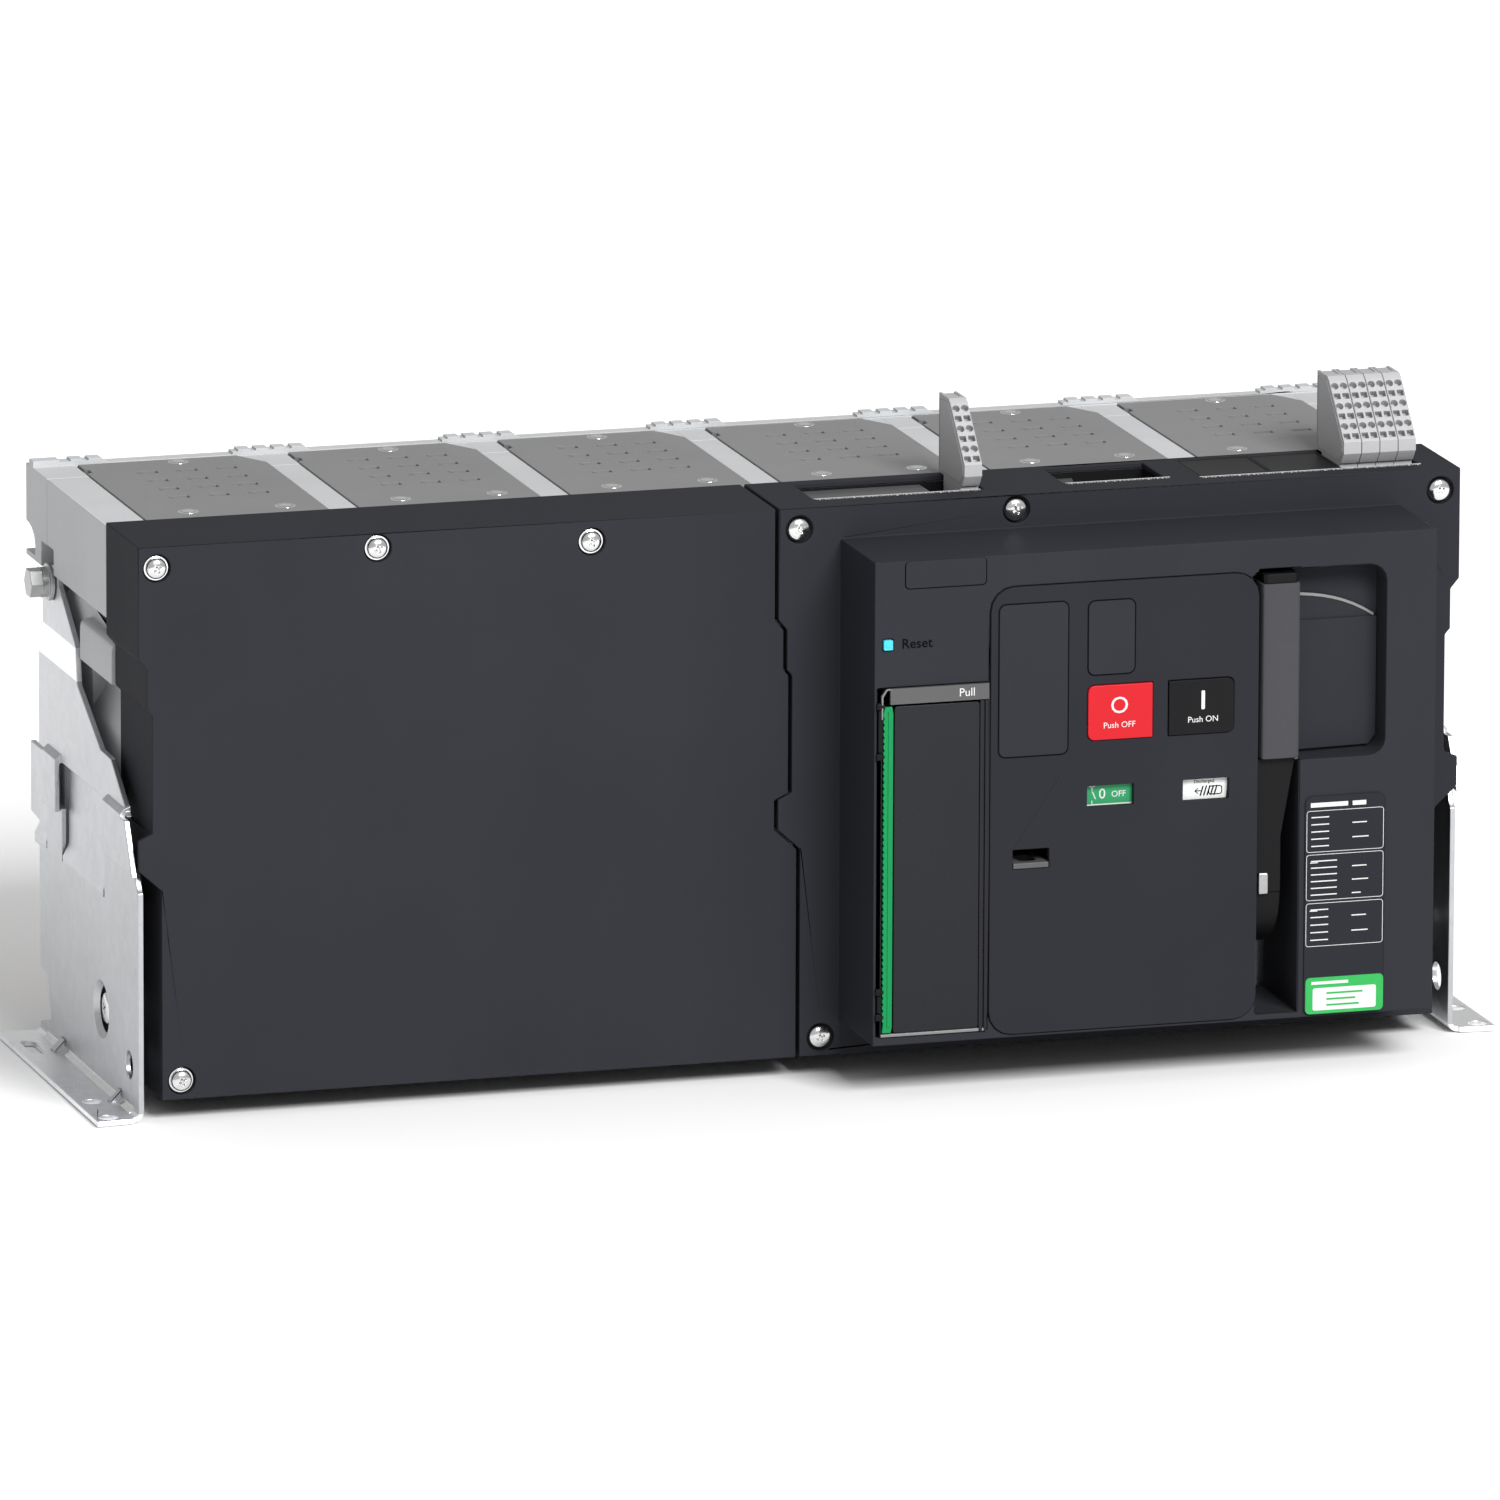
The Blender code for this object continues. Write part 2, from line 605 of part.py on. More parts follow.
def side_cutters(tag):
    """The case draws in below its skirt on both sides, and a notch frees the side plate's top."""
    made = []
    for sign in (-1, 1):
        x = both(sign, CASE_HALF - SIDE_INSET, CASE_HALF + 5.0)
        made.append(box(f"{tag}_inset_{sign}", x, (60.0, 240.0), (5.0, SKIRT_BOTTOM)))
        made.append(box(f"{tag}_notch_{sign}", x, (173.0, 198.0), (SKIRT_BOTTOM - 2.0, 268.5)))
    return made


def stab_slots(tag):
    """Ways through the back wall for the terminals' stabs."""
    made = []
    for i, middle in enumerate(cell_middles()):
        x = (middle - 30.0 - GAP, middle + 30.0 + GAP)
        for level, z in (("upper", UPPER_Z), ("lower", LOWER_Z)):
            made.append(box(f"{tag}_{level}_slot_{i}", x, (150.0, 240.0), apart(z, -GAP)))
    return made


def front_case():
    depth = (CASE_D[0], CASE_D[1] - GAP)
    case = box("front_case", (-CASE_HALF, CASE_HALF), depth, (CASE_BOTTOM, CASE_TOP), "case_grey")
    cut(case, *side_cutters("front"), *stab_slots("front"))
    rib = [(345.0, 241.5), (354.0, 241.0), (356.2, 239.5), (357.0, 237.0), (357.0, 219.0), (345.0, 219.0)]
    ribs = [prism(f"side_rib_{s}", [(s * x, z) for x, z in rib], "xz", (67.0, 131.0)) for s in (-1, 1)]
    join(case, *ribs)
    cut(case, *cell_cutters("front"))
    links = [box(f"link_window_{i}", (m - 16.0, m + 16.0), (60.0, 80.0), TROUGH_Z)
             for i, m in enumerate(cell_middles())]
    cove = [(352.0, 215.0), (343.0, 214.0), (342.0, 210.0), (343.0, 204.0), (352.0, 189.0)]
    coves = [prism(f"side_cove_{s}", [(s * x, z) for x, z in cove], "xz", (60.0, 131.0)) for s in (-1, 1)]
    cut(case, *links, *coves)
    bolts = [rod(f"bolt_hole_{s}", (s * 345.0, *BOLT_AT), "x", 5.3, 40.0, sides=16) for s in (-1, 1)]
    cut(case, *bolts)


def case_nose():
    """Block behind the covers: the pole shaft's trough, the wells on top and the cover screws' holes."""
    depth = (14.0, CASE_D[0] - GAP)
    nose = box("case_nose", (-342.0, 342.0), depth, (16.0, 300.5), "case_grey")
    brow = box("case_brow", (-354.5, 354.5), depth, (262.0, 300.5))
    trough = box("shaft_trough", (-336.0, 336.0), (22.0, 70.0), TROUGH_Z)
    bearing = rod("shaft_bearing", (0.0, *SHAFT_AT), "x", 11.2, 700.0, sides=24)
    holes = [
        rod(f"nose_hole_{i}", (x, 20.0, z), "d", 2.9, 14.0, sides=12)
        for i, (x, z) in enumerate(SCREW_PLACES)
    ]
    join(nose, brow)
    cut(nose, trough, bearing, *top_wells(), *holes)


def top_wells():
    """Wells below the openings in the right cover's top."""
    return [
        box(f"top_well_{i}", apart(x, -1.0), (d[0] - 5.0, d[1]), (262.0, 302.0))
        for i, (x, d) in enumerate(TOP_OPENINGS)
    ]


def ridge_outline():
    """Low teeth at every boundary between cells, and a broad one at the left end."""
    base, tooth, pitch = CASE_TOP + 0.9, 6.8, 9.8
    between = base + 1.4
    points = [(-CASE_HALF, 290.0), (CASE_HALF, 290.0)]
    for boundary in range(CELLS, -1, -1):
        middle = max(-341.0, min(341.0, CELL_PITCH * (boundary - CELLS / 2)))
        points.append((min(CASE_HALF, middle + 21.5), base))
        for step in range(4 if boundary else 2):
            right = middle + 18.0 - step * pitch
            points += [(right, RIDGE_TOP), (right - tooth, RIDGE_TOP)]
            points += [(right - tooth, between), (right - pitch, between)]
        if boundary:
            points.append((right - pitch, base))
    points += [(-345.6, between), (-345.6, RIDGE_TOP), (-CASE_HALF, RIDGE_TOP)]
    return points


def rear_case():
    case = box("rear_case", (-CASE_HALF, CASE_HALF), CASE_D[1:], (CASE_BOTTOM, CASE_TOP), "case_grey")
    ridge = prism("rear_ridge", ridge_outline(), "xz", (CHUTE_D[1] + 1.0, CASE_D[2]))
    wing_d = (CASE_D[2] - 2.0, 229.0)
    wings = [
        box(f"rear_wing_{s}", both(s, 340.0, CASE_HALF), wing_d, (SKIRT_BOTTOM - 1.5, CASE_TOP))
        for s in (-1, 1)
    ]
    join(case, ridge, *wings)
    cut(case, *side_cutters("rear"), *cell_cutters("rear"))
    hook = [
        (235.0, 258.0), (211.0, 258.0), (210.5, 263.0), (212.5, 268.0),
        (218.0, 271.5), (224.0, 273.0), (235.0, 274.0),
    ]
    scallops = [prism(f"scallop_{s}", hook, "dz", both(s, 335.0, 366.0)) for s in (-1, 1)]
    bolts = [rod(f"rear_bolt_hole_{s}", (s * 345.0, *BOLT_AT), "x", 5.3, 40.0, sides=16) for s in (-1, 1)]
    cut(case, *stab_slots("rear"), *scallops, *bolts)


def arc_chutes():
    """Louvred lid on four walls, open below, with splitter plates across the hollow."""
    for i, middle in enumerate(cell_middles()):
        x = (middle - CHUTE_HALF, middle + CHUTE_HALF)
        at = (middle, sum(CHUTE_D) / 2, CHUTE_Z[1])
        chute = box(f"arc_chute_{i + 1}", x, CHUTE_D, CHUTE_Z, "chute_grey", at)
        hollow = box(f"chute_hollow_{i}", apart(x, 5.0), apart(CHUTE_D, 5.0), (CHUTE_Z[0] - 1.0, CHUTE_Z[1] - 4.0))
        cut(chute, hollow)
        plates = [
            box(f"splitter_{i}_{n}", apart(x, 4.0), (84.0 + 18.0 * n, 86.0 + 18.0 * n), (CHUTE_Z[0] + 8.0, 286.0))
            for n in range(7)
        ]
        join(chute, *plates)
        louvres = [
            box(f"louvre_{i}_{row}_{column}", (middle - 21.0 + 21.5 * column, middle - 12.8 + 21.5 * column),
                (116.4 + 21.2 * row, 119.6 + 21.2 * row), (CHUTE_Z[1] - 5.0, CHUTE_Z[1] + 1.0))
            for row in range(4) for column in range(3)
        ]
        cut(chute, *louvres)


def terminals():
    """Each pole's pair of stabs is joined behind the case by one connection pad."""
    for level, z in (("upper", UPPER_Z), ("lower", LOWER_Z)):
        for i, middle in enumerate(pole_middles()):
            pad = box(
                f"{level}_terminal_{i + 1}", (middle - 92.0, middle + 92.0), (CASE_D[2] + GAP, REAR_MOST),
                (z[0] - 14.0, z[1] + 14.0), "copper",
            )
            stabs = [
                box(f"{level}_stab_{i}_{s}", (middle + s * CELL_PITCH / 2 - 30.0, middle + s * CELL_PITCH / 2 + 30.0),
                    (150.0, CASE_D[2] + 2.0), z)
                for s in (-1, 1)
            ]
            join(pad, *stabs)


def moving_contacts():
    """Finger clusters that swing back onto the upper stabs; drawn open."""
    d, z = CONTACT_AT
    closed = [
        (d - 16.0, z - 12.0), (d + 12.0, z - 12.0), (149.5, z + 84.0), (149.5, 200.0),
        (138.0, 206.0), (d - 8.0, 200.0), (d - 12.0, z + 60.0), (d - 30.0, z + 40.0), (d - 30.0, z + 24.0),
    ]
    outline = turned(closed, CONTACT_AT, CONTACT_OPEN)
    for i, middle in enumerate(cell_middles()):
        span = (middle - 27.0, middle + 27.0)
        contact = prism(f"moving_contact_{i + 1}", outline, "dz", span, "copper", (middle, d, z))
        join(contact, rod(f"contact_pin_{i}", (middle, d, z), "x", 5.0, 2 * CHAMBER_HALF - 1.0, sides=16))


def pole_shaft():
    d, z = SHAFT_AT
    shaft = rod("pole_shaft", (0.0, d, z), "x", 11.0, 680.0, "steel", (0.0, d, z), sides=24)
    cranks = [
        prism(f"crank_{i}", [(d - 8.0, z), (d + 8.0, z), (d + 5.0, z + 24.0), (d - 5.0, z + 24.0)], "dz",
              (m - 6.0, m + 6.0))
        for i, m in enumerate(cell_middles())
    ]
    join(shaft, *cranks)


# Wiring terminals


def terminal_blocks():
    profile = [
        (17.2, 313.5), (22.0, 307.5), (24.0, 307.2), (24.0, 270.0), (54.0, 270.0), (54.0, 307.2), (62.6, 307.2),
        (62.8, TERMINAL_TOP), (46.0, TERMINAL_TOP), (43.0, 348.0), (17.2, 320.0),
    ]
    for i, left in enumerate(TERMINAL_X):
        span = (left, left + TERMINAL_WIDTH - GAP)
        prism(f"terminal_block_{i + 1}", profile, "dz", span, "terminal_grey")


# Side plates, brackets and bolts


def raise_sheet(bm, sign, levels, offset):
    """Joggles a flat sheet: the part above the upper level moves inwards by the offset."""
    for level in levels:
        geometry = bm.verts[:] + bm.edges[:] + bm.faces[:]
        bmesh.ops.bisect_plane(bm, geom=geometry, dist=0.0001, plane_co=(0, 0, level), plane_no=(0, 0, 1))
    for vert in bm.verts:
        rise = (vert.co.z - levels[0]) / (levels[1] - levels[0])
        vert.co.x -= sign * offset * min(max(rise, 0.0), 1.0)


def side_plates():
    """Upper plate: bolted to the case at its top, with two tabs bent out over the bracket's upright."""
    outline = [
        (203.0, 158.0), (203.0, 254.6), (171.5, 254.6), (170.0, 250.0), (137.0, 226.0), (123.0, 206.5),
        (77.0, 182.5), (56.0, 182.0), (29.0, 163.5), (24.0, 158.0),
    ]
    bend = [
        (PLATE_OUT, TAB_TOP - 1.0), (PLATE_OUT + SHEET, TAB_TOP - 1.0), (TAB_IN, TAB_TOP - 3.0),
        (TAB_IN + SHEET, TAB_TOP - 3.0), (TAB_IN + SHEET, TAB_TOP + 1.5), (TAB_IN + 0.5, TAB_TOP + 4.0),
        (PLATE_OUT, TAB_TOP + 5.5),
    ]
    front_tab = [(62.0, TAB_TOP), (65.0, TAB_BOTTOM), (1.5, TAB_BOTTOM), (17.0, TAB_TOP)]
    rear_tab = [(184.0, TAB_TOP), (184.0, TAB_BOTTOM), (158.5, TAB_BOTTOM), (158.5, TAB_TOP)]
    for side, sign in (("left", -1), ("right", 1)):
        bm = prism_mesh(outline, "dz", both(sign, PLATE_OUT, PLATE_OUT + SHEET))
        raise_sheet(bm, sign, JOGGLE_Z, JOGGLE)
        plate = finish_object(f"side_plate_{side}", bm, "zinc")
        tab_x = both(sign, TAB_IN, TAB_IN + SHEET)
        tabs = [
            prism(f"front_tab_{side}", front_tab, "dz", tab_x),
            prism(f"rear_tab_{side}", rear_tab, "dz", tab_x),
            prism(f"front_bend_{side}", across(sign, bend), "xz", (26.5, 62.0)),
            prism(f"rear_bend_{side}", across(sign, bend), "xz", (158.5, 184.0)),
        ]
        join(plate, *tabs)
        cut(plate, rod(f"plate_hole_{side}", (sign * 352.0, *BOLT_AT), "x", 5.3, 30.0, sides=16))


def mounting_brackets():
    """Folded bracket: upright, a tongue and an ear behind the upper plate, and a foot turned outwards."""
    upright = [
        (2.0, BEND), (2.0, 122.0), (5.0, 125.0), (8.0, 133.0), (70.0, 133.0), (70.0, 105.0), (157.0, 105.0),
        (157.0, 133.0), (187.0, 133.0), (187.0, 105.0), (203.0, 104.0), (202.0, 38.0), (188.0, 37.0),
        (184.0, 24.0), (180.0, 14.0), (202.0, 8.0), (202.0, BEND),
    ]
    step = [
        (PLATE_OUT, 103.0), (PLATE_OUT + SHEET, 103.0), (PLATE_OUT + SHEET, 108.0), (PLATE_IN + SHEET, 115.0),
        (PLATE_IN + SHEET, 118.0), (PLATE_IN, 118.0), (PLATE_IN, 113.5), (PLATE_OUT, 106.5),
    ]
    steps = 5
    turns = [math.pi * (1.0 + step_index / (2 * steps)) for step_index in range(steps + 1)]
    centre = PLATE_OUT + BEND
    fold = [(centre + BEND * math.cos(turn), BEND + BEND * math.sin(turn)) for turn in turns]
    inner = BEND - SHEET
    fold += [(centre + inner * math.cos(turn), BEND + inner * math.sin(turn)) for turn in reversed(turns)]
    tongue = [(73.0, 117.0), (73.0, 176.0), (155.0, 176.0), (155.0, 117.0)]
    ear = [(189.0, 113.0), (189.0, 153.0), (REAR_MOST, 153.0), (REAR_MOST, 115.0), (213.0, 113.0)]
    for side, sign in (("left", -1), ("right", 1)):
        bracket = prism(f"mounting_bracket_{side}", upright, "dz", both(sign, PLATE_OUT, PLATE_OUT + SHEET), "zinc")
        foot_outline = [(centre, 0.0), (FOOT_OUT, -1.5), (FOOT_OUT, FOOT_BACK), (centre, FOOT_BACK)]
        inner_x = both(sign, PLATE_IN, PLATE_IN + SHEET)
        added = [
            prism(f"foot_{side}", across(sign, foot_outline), "xd", (0.0, SHEET)),
            prism(f"fold_{side}", across(sign, fold), "xz", (2.0, 202.0)),
            prism(f"tongue_{side}", tongue, "dz", inner_x),
            prism(f"ear_{side}", ear, "dz", inner_x),
            prism(f"tongue_step_{side}", across(sign, step), "xz", (73.0, 155.0)),
            prism(f"ear_step_{side}", across(sign, step), "xz", (189.0, 213.0)),
        ]
        join(bracket, *added)
        slot_x = both(sign, 370.2, 378.0)
        dish = rod(f"access_dish_{side}", (sign * 359.0, *DISH_AT), "x", 12.0, 3.01, end_radius=15.8, sides=32)
        if sign < 0:
            dish.rotation_euler.z = math.pi
            dish.location = place(2 * sign * 359.0, 2 * DISH_AT[0] - MIDDLE_D, 0.0)
        cut(
            bracket,
            dish,
            rod(f"front_hole_{side}", (sign * 359.0, 21.2, 26.5), "x", 7.5, 10.0, sides=20),
            rod(f"foot_hole_a_{side}", (sign * 375.4, 42.0, 2.0), "z", 5.2, 10.0, sides=20),
            rod(f"foot_hole_b_{side}", (sign * 375.8, 6.5, 2.0), "z", 5.2, 10.0, sides=20),
            prism(f"foot_slot_{side}", round_corners(slot_x, (150.0, 180.0), 3.8, 3), "xd", (-2.0, 6.0)),
        )


def side_bolts():
    """Hexagon bolt with washers that holds each side plate to the case."""
    seat = PLATE_OUT - JOGGLE + SHEET + GAP
    for side, sign in (("left", -1), ("right", 1)):
        spot = (sign * 354.0, *BOLT_AT)
        bolt = rod(f"side_bolt_{side}", spot, "x", 5.0, 28.0, "steel", spot, sides=16)
        washer = rod(f"washer_{side}", (sign * (seat + 1.2), *BOLT_AT), "x", 10.0, 2.4, sides=24)
        spring = rod(f"spring_washer_{side}", (sign * (seat + 4.0), *BOLT_AT), "x", 8.0, 4.0, sides=24)
        head = rod(f"bolt_head_{side}", (sign * (seat + 9.3), *BOLT_AT), "x", 8.3, 6.6, sides=6)
        join(bolt, washer, spring, head)


def build():
    front_cover_left()
    front_cover_right()
    cover_screws()
    control_panel()
    push_button("off_button", OFF_BUTTON_X, -1, "red")
    push_button("on_button", ON_BUTTON_X, 1, "black")
    flag("contact_indicator", CONTACT_FLAG_X, "green")
    flag("charge_indicator", CHARGE_FLAG_X, "white")
    reset_button()
    padlock_tab()
    control_unit()
    rating_plate()
    charging_handle()
    mechanism()
    front_case()
    case_nose()
    rear_case()
    arc_chutes()
    terminals()
    moving_contacts()
    pole_shaft()
    terminal_blocks()
    side_plates()
    mounting_brackets()
    side_bolts()


clear_scene()
PARTS = collection("air_circuit_breaker")
CUTTERS = collection("cutters")
build()
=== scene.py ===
"""Looks of the air circuit breaker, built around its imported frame.

Pieces are drawn in millimetres as (x, d, z): x across from the middle, d back from the face of the
two front covers, z up from the underside of the feet. They become metres in the row frame.
"""

import json
import math

import bmesh
import bpy
from mathutils import Matrix, Vector


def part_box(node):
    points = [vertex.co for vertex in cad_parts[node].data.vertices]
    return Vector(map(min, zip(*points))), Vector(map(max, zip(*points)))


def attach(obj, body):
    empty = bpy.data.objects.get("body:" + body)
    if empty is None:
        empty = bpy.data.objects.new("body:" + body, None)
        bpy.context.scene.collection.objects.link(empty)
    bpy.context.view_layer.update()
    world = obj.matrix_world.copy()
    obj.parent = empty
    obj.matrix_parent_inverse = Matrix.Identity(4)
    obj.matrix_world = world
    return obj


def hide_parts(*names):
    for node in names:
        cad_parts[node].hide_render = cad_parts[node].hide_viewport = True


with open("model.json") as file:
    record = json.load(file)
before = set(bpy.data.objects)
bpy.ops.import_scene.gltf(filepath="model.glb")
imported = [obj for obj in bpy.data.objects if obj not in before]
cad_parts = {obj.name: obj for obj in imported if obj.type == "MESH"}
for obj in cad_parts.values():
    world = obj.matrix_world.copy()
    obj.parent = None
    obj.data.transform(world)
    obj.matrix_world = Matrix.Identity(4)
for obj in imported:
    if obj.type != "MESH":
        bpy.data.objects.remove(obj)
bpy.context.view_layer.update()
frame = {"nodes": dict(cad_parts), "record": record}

MM = 0.001
FRONT_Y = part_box("front_cover_left")[0].y
TO_FRAME = Matrix.Translation((0.0, FRONT_Y, 0.0)) @ Matrix.Scale(MM, 4)
ROOT = "body"
FACE_D = -61.2
COVER_TOP = 306.5
POCKET_DEPTH = 18.0
SHARP = math.radians(32.0)


# Camera, floor and light


def make_camera():
    """The photo's view, from a long lens: the angles of the line of sight, its target and its length."""
    azimuth, elevation, roll = math.radians(16.847), math.radians(12.932), math.radians(0.209)
    target = Vector((0.00907, 0.04387, 0.14760))
    distance = 10.2954
    forward = Vector((
        math.sin(azimuth) * math.cos(elevation), math.cos(azimuth) * math.cos(elevation), -math.sin(elevation)
    ))
    level = Vector((math.cos(azimuth), -math.sin(azimuth), 0.0))
    right = level * math.cos(roll) + level.cross(forward) * math.sin(roll)
    up = right.cross(forward)
    data = bpy.data.cameras.new("camera")
    data.sensor_width = 36.0
    data.lens = 466.67
    data.clip_end = 100.0
    made = bpy.data.objects.new("camera", data)
    bpy.context.scene.collection.objects.link(made)
    turn = Matrix((right, up, -forward)).transposed().to_4x4()
    made.matrix_world = Matrix.Translation(target - forward * distance) @ turn
    bpy.context.scene.camera = made


def area_light(name, place, target, size, power, colour=(1.0, 1.0, 1.0)):
    data = bpy.data.lights.new(name, "AREA")
    data.shape = "RECTANGLE"
    data.size, data.size_y = size
    data.energy = power
    data.color = colour
    made = bpy.data.objects.new(name, data)
    made.location = place
    made.rotation_euler = (Vector(target) - Vector(place)).to_track_quat("-Z", "Y").to_euler()
    bpy.context.scene.collection.objects.link(made)


def make_studio():
    """One large key light in a white world, on paper that glows further back to keep the backdrop white."""
    scene = bpy.context.scene
    scene.view_settings.view_transform = "Standard"
    world = bpy.data.worlds.new("studio")
    world.use_nodes = True
    background = world.node_tree.nodes["Background"]
    background.inputs["Color"].default_value = (1.0, 1.0, 1.0, 1.0)
    background.inputs["Strength"].default_value = 0.5
    scene.world = world
    area_light("key", (0.9, -4.4, 3.5), (0.0, 0.0, 0.15), (2.6, 2.0), 375.0)
    bm = bmesh.new()
    bmesh.ops.create_grid(bm, x_segments=1, y_segments=1, size=30.0)
    mesh = bpy.data.meshes.new("floor")
    bm.to_mesh(mesh)
    bm.free()
    floor = bpy.data.objects.new("floor", mesh)
    floor.location.z = -0.0005
    scene.collection.objects.link(floor)
    paper = bpy.data.materials.new("floor_paper")
    paper.use_nodes = True
    shader = paper.node_tree.nodes["Principled BSDF"]
    shader.inputs["Base Color"].default_value = (0.93, 0.93, 0.93, 1.0)
    shader.inputs["Roughness"].default_value = 1.0
    shader.inputs["Specular IOR Level"].default_value = 0.0
    tree = paper.node_tree
    place = tree.nodes.new("ShaderNodeTexCoord")
    behind = tree.nodes.new("ShaderNodeSeparateXYZ")
    tree.links.new(place.outputs["Object"], behind.inputs["Vector"])
    glow = tree.nodes.new("ShaderNodeMapRange")
    glow.inputs["From Min"].default_value = 0.1
    glow.inputs["From Max"].default_value = 2.4
    glow.inputs["To Max"].default_value = 0.7
    tree.links.new(behind.outputs["Y"], glow.inputs["Value"])
    shader.inputs["Emission Color"].default_value = (1.0, 1.0, 1.0, 1.0)
    tree.links.new(glow.outputs["Result"], shader.inputs["Emission Strength"])
    mesh.materials.append(paper)


# Materials


class Surface:
    """Node-building help for one material."""

    def __init__(self, name):
        self.material = bpy.data.materials.new(name)
        self.material.use_nodes = True
        self.tree = self.material.node_tree
        self.shader = self.tree.nodes["Principled BSDF"]
        self.coordinates = self.tree.nodes.new("ShaderNodeTexCoord").outputs["Object"]

    def set(self, **values):
        for key, value in values.items():
            self.shader.inputs[key.replace("_", " ")].default_value = value

    def node(self, kind, **values):
        made = self.tree.nodes.new(kind)
        for key, value in values.items():
            setattr(made, key, value)
        return made

    def link(self, out, into):
        self.tree.links.new(out, into)

    def stretched(self, scale):
        mapping = self.node("ShaderNodeMapping")
        mapping.inputs["Scale"].default_value = scale
        self.link(self.coordinates, mapping.inputs["Vector"])
        return mapping.outputs["Vector"]

    def noise(self, scale, detail=3.0, vector=None, rough=0.5):
        made = self.node("ShaderNodeTexNoise")
        made.inputs["Scale"].default_value = scale
        made.inputs["Detail"].default_value = detail
        made.inputs["Roughness"].default_value = rough
        self.link(vector or self.coordinates, made.inputs["Vector"])
        return made.outputs["Fac"]

    def spread(self, out, low, high, start=0.3, end=0.7):
        made = self.node("ShaderNodeMapRange")
        made.inputs["From Min"].default_value = start
        made.inputs["From Max"].default_value = end
        made.inputs["To Min"].default_value = low
        made.inputs["To Max"].default_value = high
        self.link(out, made.inputs["Value"])
        return made.outputs["Result"]

    def times(self, a, b):
        made = self.node("ShaderNodeMath", operation="MULTIPLY")
        self.link(a, made.inputs[0])
        self.link(b, made.inputs[1])
        return made.outputs["Value"]

    def add(self, a, b):
        made = self.node("ShaderNodeMath", operation="ADD")
        self.link(a, made.inputs[0])
        self.link(b, made.inputs[1])
        return made.outputs["Value"]

    def colour(self, base, amount):
        """The base colour made lighter and darker by a value around one."""
        made = self.node("ShaderNodeVectorMath", operation="SCALE")
        made.inputs[0].default_value = base
        self.link(amount, made.inputs["Scale"])
        self.link(made.outputs["Vector"], self.shader.inputs["Base Color"])

    def roughness(self, out):
        self.link(out, self.shader.inputs["Roughness"])

    def bump(self, out, distance, strength=1.0):
        made = self.node("ShaderNodeBump")
        made.inputs["Strength"].default_value = strength
        made.inputs["Distance"].default_value = distance
        self.link(out, made.inputs["Height"])
        self.link(made.outputs["Normal"], self.shader.inputs["Normal"])


def moulded(name, base, rough=0.45, specular=0.3, grain=1400.0, relief=0.00003, blotch=0.05):
    """Moulded plastic: fine spark-eroded grain, faint flow marks and handling marks in the gloss."""
    made = Surface(name)
    made.set(Specular_IOR_Level=specular)
    fine = made.noise(grain, 2.0, rough=0.6)
    wide = made.noise(9.0, 4.0)
    flow = made.noise(1.0, 3.0, made.stretched((40.0, 40.0, 6.0)))
    shade = made.times(made.spread(wide, 1.0 - blotch, 1.0 + blotch), made.spread(fine, 0.96, 1.04))
    made.colour(base, made.times(shade, made.spread(flow, 0.985, 1.015)))
    made.roughness(made.add(made.spread(wide, rough - 0.05, rough + 0.03), made.spread(fine, -0.03, 0.03)))
    made.bump(fine, relief, 0.6)
    return made.material


def plated(name, base, rough=0.34, spangle=160.0, metallic=1.0, streak=0.06, relief=0.00002, bright=None):
    """Plated sheet steel: small spangles, rolling streaks, and, when `bright` is given, a painted highlight
    as a lighter band between two heights.
    """
    made = Surface(name)
    made.set(Metallic=metallic)
    grains = made.node("ShaderNodeTexVoronoi", feature="F1")
    grains.inputs["Scale"].default_value = spangle
    made.link(made.coordinates, grains.inputs["Vector"])
    tone = made.node("ShaderNodeSeparateColor")
    made.link(grains.outputs["Color"], tone.inputs["Color"])
    rolled = made.noise(1.0, 4.0, made.stretched((900.0, 60.0, 900.0)), 0.6)
    wide = made.noise(14.0, 4.0)
    shade = made.spread(tone.outputs["Red"], 0.965, 1.035, 0.0, 1.0)
    shade = made.times(shade, made.spread(rolled, 0.97, 1.03))
    shade = made.times(shade, made.spread(wide, 1.0 - streak, 1.0 + streak))
    # Painted highlight: the colour is 1.75 times lighter between the two heights, where a bend in the sheet
    # catches the light.
    if bright:
        middle, reach = sum(bright) / 2, (bright[1] - bright[0]) / 2
        height = made.node("ShaderNodeSeparateXYZ")
        made.link(made.coordinates, height.inputs["Vector"])
        inside = made.node("ShaderNodeMath", operation="COMPARE")
        inside.inputs[1].default_value = middle
        inside.inputs[2].default_value = reach
        made.link(height.outputs["Z"], inside.inputs[0])
        shade = made.times(shade, made.spread(inside.outputs["Value"], 1.0, 1.75, 0.0, 1.0))
    made.colour(base, shade)
    made.roughness(made.add(made.spread(wide, rough - 0.07, rough + 0.07), made.spread(rolled, -0.04, 0.04)))
    made.bump(rolled, relief, 0.5)
    return made.material


